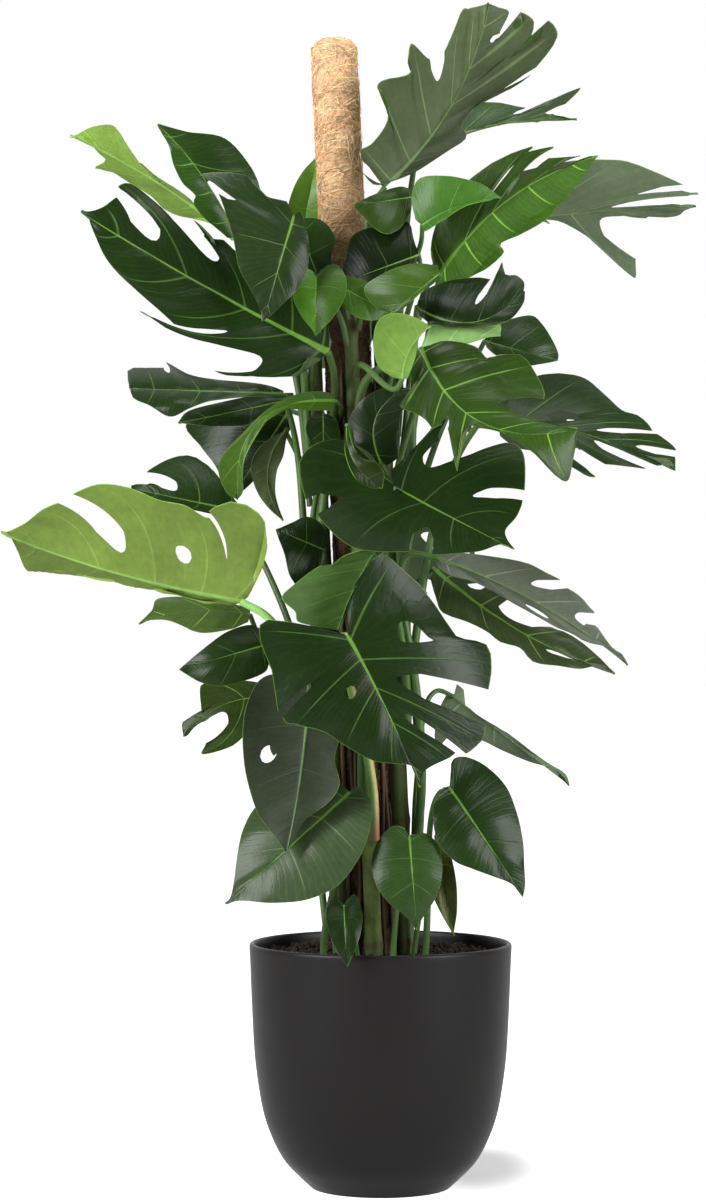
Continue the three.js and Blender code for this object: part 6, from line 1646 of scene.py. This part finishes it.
def soil_material():
    """Dark crumbly mix: brown and black grains with pale specks."""
    material, nodes, shader = new_material("soil")
    place = nodes.place()
    specks = nodes.between(nodes.noise(place, 420.0, 1.0), 0.7, 0.76)
    earth = nodes.mix(nodes.noise(place, 160.0, 4.0), (0.006, 0.004, 0.003, 1), (0.035, 0.02, 0.012, 1))
    earth = nodes.mix(nodes.times(specks, 0.7), earth, (0.3, 0.22, 0.15, 1))
    toned(nodes, shader, earth, 60.0, 0.7)
    shader.inputs["Roughness"].default_value = 0.95
    nodes.feed(shader.inputs["Normal"], nodes.bump(nodes.noise(place, 300.0, 4.0), 0.002, 0.8))
    return material


SOIL_RINGS = 46
SOIL_SIDES = 150


def soil_top(radius):
    """A disc of loose earth: rings of points raised unevenly, then its edge and its underside."""
    rings, sides = SOIL_RINGS, SOIL_SIDES
    rng = np.random.default_rng(11)
    points = [(0.0, 0.0, SOIL_LEVEL + 2.6)]
    for i in range(1, rings + 1):
        share = i / rings
        loose = 1 - share**12
        for k in range(sides):
            turn = 2 * np.pi * (k + 0.5 * (i % 2)) / sides
            x, y = radius * share * np.cos(turn), radius * share * np.sin(turn)
            lift = 0.9 * np.sin(x / 7.1 + 1.3) * np.sin(y / 6.3)
            lift += 0.6 * np.sin(x / 3.1) * np.sin(y / 2.7 + 2)
            lift += 1.6 * (1 - share) + 0.7 * rng.normal()
            points.append((x, y, SOIL_LEVEL + 1.2 + lift * loose))
    points += [(x, y, SOIL_LEVEL - 9.0) for x, y, _ in points[-sides:]]
    faces = [(0, 1 + k, 1 + (k + 1) % sides) for k in range(sides)]
    for i in range(rings):
        for k in range(sides):
            a, b = 1 + i * sides + k, 1 + i * sides + (k + 1) % sides
            faces.append((a, a + sides, b + sides, b))
    faces.append(tuple(1 + rings * sides + k for k in reversed(range(sides))))
    return made_object("soil_surface", np.array(points) * MM, faces, 60)


class PLANT_OT_soil(bpy.types.Operator):
    """Build the loose top of the soil, with crumbs on it"""

    bl_idname = "plant.soil"
    bl_label = "Soil"

    def execute(self, context):
        material = soil_material()
        dress(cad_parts["soil"], material)
        radius = POT_RADIUS - POT_WALL - 1.4
        surface = soil_top(radius)
        crumbs = self.crumbs(context.scene.plant_pot.crumbs, radius)
        for piece in (surface, crumbs):
            dress(piece, material)
            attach(piece, "root")
        return {"FINISHED"}

    def crumbs(self, count, radius):
        """Small uneven lumps, copied from one ball."""
        bpy.ops.object.select_all(action="DESELECT")
        bpy.ops.mesh.primitive_ico_sphere_add(subdivisions=1, radius=1.0)
        lump = bpy.context.object
        ball = np.array([vertex.co for vertex in lump.data.vertices])
        corners = [tuple(face.vertices) for face in lump.data.polygons]
        bpy.data.objects.remove(lump)
        rng = np.random.default_rng(4)
        lumps = []
        for _ in range(count):
            turn = rng.uniform(0, 2 * np.pi)
            far = (radius - 6) * np.sqrt(rng.uniform(0.02, 1))
            size = rng.gamma(2.2, 0.75) + 0.7
            place = np.array([far * np.cos(turn), far * np.sin(turn), SOIL_LEVEL + 2.6 + 0.3 * size])
            shape = ball * size * rng.uniform(0.6, 1.15, 3) * rng.uniform(0.8, 1.2, (len(ball), 1))
            spin = np.array(Euler(rng.uniform(0, 6.28, 3)).to_matrix())
            lumps.append((shape @ spin.T + place, corners))
        points, faces = joined(lumps)
        return made_object("soil_crumbs", points * MM, faces)


def coir_material(settings):
    """Tan coconut fibre: streaks along each fibre, with painted shade in the gaps between them."""
    material, nodes, shader = new_material("coir")
    place = nodes.place()
    strands = nodes.noise(nodes.stretched(place, (420.0, 420.0, 160.0)), 1.0, 4.0, 0.6, 1.5)
    color = tuple(settings.fiber_color)
    # deep is the painted shade of the gaps between fibres.
    deep = (0.66 * color[0], 0.52 * color[1], 0.4 * color[2])
    fiber = nodes.mix(nodes.between(strands, 0.3, 0.6), (*deep, 1), (*color, 1))
    # The tint darkens the fibre lower down the pole with painted shade.
    fiber = nodes.mix(1.0, fiber, nodes.attribute("tint", "Color"), "MULTIPLY")
    toned(nodes, shader, fiber, 30.0, 0.2)
    shader.inputs["Roughness"].default_value = 0.85
    nodes.feed(shader.inputs["Normal"], nodes.bump(strands, 0.0012, 0.7))
    return material


# The pole's length, and how much of it is rounded off at the top
POLE_LENGTH = np.linalg.norm(POLE_TOP - POLE_FOOT)
POLE_DOME = 17.0


def on_sleeve(share, turn, lift):
    """A place on the sleeve: a share of the pole's length, round it, and off its surface in mm."""
    along = unit(POLE_TOP - POLE_FOOT)
    across = unit(np.array([1.0, 0.0, 0.0]) - along * along[0])
    third = np.cross(along, across)
    high = np.asarray(share) * POLE_LENGTH
    end = np.clip((POLE_LENGTH - high) / POLE_DOME, 0, 1)
    radius = (POLE_RADIUS - 1.2) * np.sqrt(np.clip(1 - (1 - end) ** 2, 0, 1)) + lift
    way = np.cos(turn)[..., None] * across + np.sin(turn)[..., None] * third
    return POLE_FOOT + along * np.minimum(high, POLE_LENGTH - 1)[..., None] + way * radius[..., None]


def painted_coir_shade(points):
    """Painted shade: coir is pale at the top of the pole, and darker and red-brown lower down, where the
    leaves shade it.
    """
    height = points[:, 2]
    share = np.interp(height, (985, 1080, 1150, 1290), (0.1, 0.5, 0.9, 1.05))
    return np.stack([share, share**1.15, share**1.3], axis=1)


# Turns of the thread round the sleeve, with a soft band between each two
COIR_BANDS = 36


def sleeve_mesh():
    """The sleeve itself: closed round the core, uneven as wound fibre is, and domed on top."""
    rings, sides = 420, 72
    shares = np.linspace(COIR_START, 1.0, rings)
    turn, share = np.meshgrid(2 * np.pi * np.arange(sides) / sides, shares)
    bands = np.abs(np.sin(np.pi * share * COIR_BANDS + 0.25 * np.sin(turn + 40 * share)))
    lift = 2.2 * np.sqrt(bands) - 1.9 + 0.45 * np.sin(turn * 9 + share * 400)
    lift = lift + 0.3 * np.sin(turn * 17 - share * 700)
    top = np.clip((1.0 - share) * 60, 0, 1)
    return on_sleeve(share, turn, lift * top).reshape(-1, 3), ring_faces(rings, sides)


def strand(points, width, rng):
    """One fibre: a thin three-sided bar along points."""
    count = len(points)
    radii = width * (1 - 0.5 * np.linspace(-1, 1, count) ** 2)
    return tube(points, radii, 3, start=rng.normal(size=3))[:2]


class PLANT_OT_pole(bpy.types.Operator):
    """Build the coir sleeve with its fibres, thread and loose hairs"""

    bl_idname = "plant.pole"
    bl_label = "Coir pole"

    def execute(self, context):
        settings = context.scene.plant_pole
        material = coir_material(settings)
        dress(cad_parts["pole_core"], self.core_material())
        points, faces = sleeve_mesh()
        sleeve = made_object("coir_sleeve_fine", points * MM, faces, 60)
        # The sleeve's tint is painted shade, darker lower down the pole.
        point_colors(sleeve, "tint", 0.9 * painted_coir_shade(points))
        pieces = [sleeve, self.fibers(settings), self.hairs(settings), self.thread()]
        for piece in pieces:
            dress(piece, material)
            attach(piece, "root")
        for piece in pieces:
            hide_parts("coir_sleeve")
        return {"FINISHED"}

    def core_material(self):
        """Plain sawn wood."""
        material, nodes, shader = new_material("core")
        place = nodes.place()
        grain = nodes.noise(nodes.stretched(place, (260.0, 260.0, 9.0)), 1.0, 4.0, 0.6, 0.6)
        wood = nodes.mix(grain, (0.22, 0.13, 0.06, 1), (0.5, 0.34, 0.18, 1))
        nodes.feed(shader.inputs["Base Color"], wood)
        shader.inputs["Roughness"].default_value = 0.75
        nodes.feed(shader.inputs["Normal"], nodes.bump(grain, 0.0008, 0.6))
        return material

    def gathered(self, name, strands, tints):
        """Many fibres as one mesh."""
        points, faces = joined(strands)
        piece = made_object(name, points * MM, faces)
        # Each fibre's tint is its own brightness times the painted shade lower down the pole.
        tints_with_painted_shade = [painted_coir_shade(vertices) * tint for (vertices, _), tint in zip(strands, tints)]
        point_colors(piece, "tint", np.vstack(tints_with_painted_shade))
        return piece

    def tints(self, count, rng):
        bright = rng.uniform(0.55, 1.6, (count, 1))
        warm = rng.uniform(-0.08, 0.08, (count, 1))
        return np.hstack([bright * (1 + warm), bright, bright * (1 - 1.5 * warm)])

    def fibers(self, settings):
        """Fibres that lie criss-cross on the sleeve."""
        rng = np.random.default_rng(7)
        strands = []
        for _ in range(settings.fibers):
            reach = rng.uniform(18, 60)
            lean = rng.normal(1.5, 0.7)
            share = rng.uniform(COIR_START + 0.02, 1.0) ** 0.7
            turn = rng.uniform(0, 2 * np.pi)
            steps = np.linspace(-0.5, 0.5, 6)
            curl = rng.normal(0, 0.25) * steps**2 * 4
            up = steps * reach * np.cos(lean + curl) / POLE_LENGTH
            round_it = steps * reach * np.sin(lean + curl) / POLE_RADIUS
            lift = 0.9 + 1.3 * rng.uniform() - 4.2 * steps**2
            shares = np.clip(share + up, COIR_START, 0.9992)
            strands.append(strand(on_sleeve(shares, turn + round_it, lift), rng.uniform(0.25, 0.6), rng))
        return self.gathered("coir_fibers", strands, self.tints(len(strands), rng))

    def hairs(self, settings):
        """Loose fibres that stand off the sleeve in arcs."""
        rng = np.random.default_rng(9)
        strands = []
        for _ in range(settings.hairs):
            reach = settings.hair_length / MM * rng.uniform(0.6, 1.6)
            lean = rng.uniform(0, 2 * np.pi)
            share = rng.uniform(0.12, 1.0) ** 0.5
            turn = rng.uniform(0, 2 * np.pi)
            steps = np.linspace(0, 1, 7)
            up = steps * reach * np.cos(lean) / POLE_LENGTH
            round_it = steps * reach * np.sin(lean) / POLE_RADIUS
            tall = rng.uniform(1.5, 5.0)
            lift = 0.4 + tall * steps * (1.5 - rng.uniform(0.2, 1.2) * steps)
            shares = np.clip(share + up, COIR_START, 0.9995)
            strands.append(strand(on_sleeve(shares, turn + round_it, lift), rng.uniform(0.1, 0.2), rng))
        return self.gathered("coir_hairs", strands, self.tints(len(strands), rng))

    def thread(self):
        """The thin thread that is wound round the sleeve and holds the fibre."""
        steps = COIR_BANDS * 26
        shares = np.linspace(COIR_START + 0.01, 0.985, steps)
        turn = np.linspace(0, 2 * np.pi * COIR_BANDS, steps)
        wander = 0.004 * np.sin(turn * 0.37) + 0.003 * np.sin(turn * 1.7)
        path = on_sleeve(np.clip(shares + wander, COIR_START, 0.99), turn, np.full(steps, 0.9))
        vertices, polygons, _ = tube(path, np.full(steps, 0.55), 5)
        return self.gathered("coir_thread", [(vertices, polygons)], [np.array([1.25, 1.45, 1.7])])


def stem_material(settings):
    """Bark: green, browner toward the foot, with fissures and brown leaf scars at the nodes."""
    material, nodes, shader = new_material("stem")
    place = nodes.place()
    streaks = nodes.noise(nodes.stretched(place, (220.0, 220.0, 25.0)), 1.0, 4.0, 0.6, 0.8)
    bark = nodes.mix(streaks, (*settings.green, 1), scaled(settings.green, 1.9))
    young = nodes.mix(streaks, (0.16, 0.27, 0.05, 1), (0.3, 0.42, 0.1, 1))
    bark = nodes.mix(nodes.attribute("young"), bark, young)
    aged = nodes.plus(nodes.noise(place, 18.0, 3.0), nodes.attribute("age"))
    bark = nodes.mix(nodes.between(aged, 0.75, 1.1), bark, (*settings.brown, 1))
    scar = nodes.times(nodes.attribute("scar"), 0.8)
    bark = nodes.mix(scar, bark, (*settings.brown, 1))
    toned(nodes, shader, bark, 40.0, 0.4)
    nodes.feed(shader.inputs["Roughness"], nodes.plus(0.45, nodes.times(streaks, 0.25)))
    nodes.feed(shader.inputs["Normal"], nodes.bump(streaks, 0.0008, 0.7))
    return material


STEM_SIDES = 20
ROOT_COUNT = 17
ROOT_SIDES = 8


class PLANT_OT_stems(bpy.types.Operator):
    """Build the climbing stems with their nodes and leaf scars"""

    bl_idname = "plant.stems"
    bl_label = "Stems"

    def execute(self, context):
        material = stem_material(context.scene.plant_stem)
        for name, stem in STEMS.items():
            heights = np.arange(STEM_FOOT, stem["top"], 4.0)
            path = np.array([stem_at(name, z) for z in heights])
            radii = np.array([stem_radius(name, z) for z in heights])
            ring = np.exp(-(((heights / NODE_SPACING + 0.5) % 1 - 0.5) * NODE_SPACING / 3.5) ** 2)
            radii = radii + 0.5 * ring
            radii[-3:] *= (0.85, 0.65, 0.4)
            vertices, faces, _ = tube(path, radii, STEM_SIDES)
            piece = made_object(f"{name}_stem", vertices * MM, faces, 50)
            age = 0.35 - 0.45 * (heights - STEM_FOOT) / (stem["top"] - STEM_FOOT)
            fresh = 0.9 if name == "front" else 0.0
            young = np.interp(heights, (280, 300, 400, 430), (0, fresh, fresh, 0))
            for key, values in (("scar", ring), ("age", age), ("young", young)):
                point_numbers(piece, key, np.repeat(values, STEM_SIDES))
            dress(piece, material)
            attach(piece, "root")
            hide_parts(f"stem_{name}")
        self.roots(material)
        return {"FINISHED"}

    def roots(self, material):
        """Thin brown roots that grow from the joints and run down the pole into the soil."""
        rng = np.random.default_rng(21)
        length = POLE_TOP[2] - POLE_FOOT[2]
        roots, ages = [], []
        for k in range(ROOT_COUNT):
            high = rng.uniform(430.0, 1080.0)
            heights = np.arange(high, SOIL_LEVEL - 6, -14.0)
            shares = (heights - POLE_FOOT[2]) / length
            wander = 0.1 * np.sin(heights / 37 + k) + 0.16 * np.sin(heights / 90 + 2 * k)
            turn = 2 * np.pi * k / ROOT_COUNT + wander
            lift = 2.6 + 1.6 * np.sin(heights / 53 + 3 * k) ** 2
            radii = np.full(len(heights), rng.uniform(1.8, 3.6))
            radii[:3] *= (0.3, 0.6, 0.85)
            roots.append(tube(on_sleeve(shares, turn, lift), radii, ROOT_SIDES)[:2])
            ages.append(np.full(len(roots[-1][0]), rng.choice([0.55, 0.9, 1.2])))
        points, faces = joined(roots)
        piece = made_object("aerial_roots", points * MM, faces, 50)
        point_numbers(piece, "age", np.concatenate(ages))
        for key in ("scar", "young"):
            point_numbers(piece, key, np.zeros(len(points)))
        dress(piece, material)
        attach(piece, "root")


# Stage

# Each light's place, what it is turned to, and its size, in metres
LIGHTS = {
    "key": ((-2.7, -1.9, 2.1), (0, 0, 0.75), (1.6, 2.2)),
    "fill": ((2.7, -1.8, 1.7), (0, 0, 0.75), (1.6, 2.2)),
    "top": ((0.2, -0.3, 3.2), (0, 0, 0.8), (1.2, 1.2)),
}
# The middle of the painted shadow beside the pot, a patch where the floor glows less, in metres
SHADOW_PLACE = (0.115, 0.06, 0.0)
# The camera: the height of its film in millimetres, its focal length in those heights, and its slope up
FILM_HEIGHT = 36.0
FOCAL_HEIGHTS = 3132 / 1200
SLOPE_UP = 0.032 / 3.6


def area_light(name, place, aim, size, power):
    light = bpy.data.lights.new(name, "AREA")
    light.shape = "RECTANGLE"
    light.size, light.size_y = size
    light.energy = power
    lamp = bpy.data.objects.new(name, light)
    lamp.location = place
    lamp.rotation_euler = (Vector(aim) - Vector(place)).to_track_quat("-Z", "Y").to_euler()
    bpy.context.scene.collection.objects.link(lamp)


class PLANT_OT_stage(bpy.types.Operator):
    """Build the floor, the lights and the camera"""

    bl_idname = "plant.stage"
    bl_label = "Stage"

    def execute(self, context):
        settings = context.scene.plant_stage
        self.floor()
        self.room(settings.surround)
        for name, (place, aim, size) in LIGHTS.items():
            area_light(f"{name}_light", place, aim, size, getattr(settings, f"{name}_power"))
        self.camera()
        return {"FINISHED"}

    def floor(self):
        """A white floor. It glows to the camera away from the pot, and is lit near its foot, where a patch
        that glows less is a painted shadow in which the cast shadow shows.
        """
        bpy.ops.object.select_all(action="DESELECT")
        bpy.ops.mesh.primitive_plane_add(size=60.0, location=(0, 0, 0))
        floor = bpy.context.object
        floor.name = "floor"
        material, nodes, shader = new_material("floor")
        eye = nodes.add("ShaderNodeLightPath").outputs["Is Camera Ray"]
        off = nodes.add("ShaderNodeVectorMath", {"operation": "SUBTRACT"})
        nodes.feed(off.inputs[0], nodes.stretched(nodes.place(), (1.0, 0.45, 1.0)))
        off.inputs[1].default_value = SHADOW_PLACE
        away = nodes.add("ShaderNodeVectorMath", {"operation": "LENGTH"}, Vector=off.outputs[0])
        # Painted shadow: the floor glows less in a patch beside the foot.
        glow = nodes.between(away.outputs["Value"], 0.03, 0.11, 0.22, 1.0)
        nodes.feed(shader.inputs["Base Color"], nodes.mix(eye, (0.5, 0.5, 0.5, 1), (0.8, 0.8, 0.8, 1)))
        shader.inputs["Roughness"].default_value = 0.9
        shader.inputs["Specular IOR Level"].default_value = 0.0
        shader.inputs["Emission Color"].default_value = (1, 1, 1, 1)
        glow_with_painted_shadow = nodes.math("MAXIMUM", nodes.times(eye, glow), 0.2)
        nodes.feed(shader.inputs["Emission Strength"], glow_with_painted_shadow)
        dress(floor, material)

    def room(self, brightness):
        """A white room that is brightest behind the plant, and plain white to the camera."""
        world = bpy.data.worlds.new("room")
        bpy.context.scene.world = world
        world.use_nodes = True
        nodes = Nodes(world.node_tree)
        background = world.node_tree.nodes["Background"]
        background.inputs["Color"].default_value = (1, 1, 1, 1)
        way = nodes.add("ShaderNodeTexCoord").outputs["Generated"]
        depth = nodes.add("ShaderNodeSeparateXYZ", Vector=way).outputs["Y"]
        glow = nodes.between(depth, 0.2, 0.8, brightness, 0.85)
        seen_by_eye = nodes.add("ShaderNodeLightPath").outputs["Is Camera Ray"]
        strength = nodes.math("MAXIMUM", glow, seen_by_eye)
        nodes.feed(background.inputs["Strength"], strength)

    def camera(self):
        camera = bpy.data.cameras.new("camera")
        camera.sensor_fit = "VERTICAL"
        camera.sensor_height = FILM_HEIGHT
        camera.lens = FILM_HEIGHT * FOCAL_HEIGHTS
        eye = bpy.data.objects.new("camera", camera)
        eye.location = Vector(EYE * MM)
        eye.rotation_euler = (np.pi / 2 + np.arctan(SLOPE_UP), 0, 0)
        bpy.context.scene.collection.objects.link(eye)
        bpy.context.scene.camera = eye
        bpy.context.scene.view_settings.view_transform = "Standard"


# Panel


class PLANT_PT_panel(bpy.types.Panel):
    """Sizes, colours and pieces of the plant"""

    bl_idname = "PLANT_PT_panel"
    bl_label = "Swiss Cheese Plant"
    bl_space_type = "VIEW_3D"
    bl_region_type = "UI"
    bl_category = "Plant"

    def draw(self, context):
        for group in SETTINGS:
            box = self.layout.box()
            settings = getattr(context.scene, group)
            for key in settings.bl_rna.properties.keys():
                if key not in {"rna_type", "name"}:
                    box.prop(settings, key)
        for operator in OPERATORS:
            self.layout.operator(operator.bl_idname)


SETTINGS = {
    "plant_pot": PotSettings,
    "plant_pole": PoleSettings,
    "plant_leaf": LeafSettings,
    "plant_stem": StemSettings,
    "plant_stage": StageSettings,
}
OPERATORS = [PLANT_OT_stage, PLANT_OT_pot, PLANT_OT_soil, PLANT_OT_pole, PLANT_OT_stems, PLANT_OT_leaves]
CLASSES = [*SETTINGS.values(), *OPERATORS, PLANT_PT_panel]


def register():
    for cls in CLASSES:
        bpy.utils.register_class(cls)
    for name, group in SETTINGS.items():
        setattr(bpy.types.Scene, name, PointerProperty(type=group))


def unregister():
    for name in SETTINGS:
        delattr(bpy.types.Scene, name)
    for cls in reversed(CLASSES):
        bpy.utils.unregister_class(cls)


def main():
    register()
    bpy.ops.plant.stage()
    bpy.ops.plant.pot()
    bpy.ops.plant.soil()
    bpy.ops.plant.pole()
    bpy.ops.plant.stems()
    bpy.ops.plant.leaves()


if __name__ == "__main__":
    main()
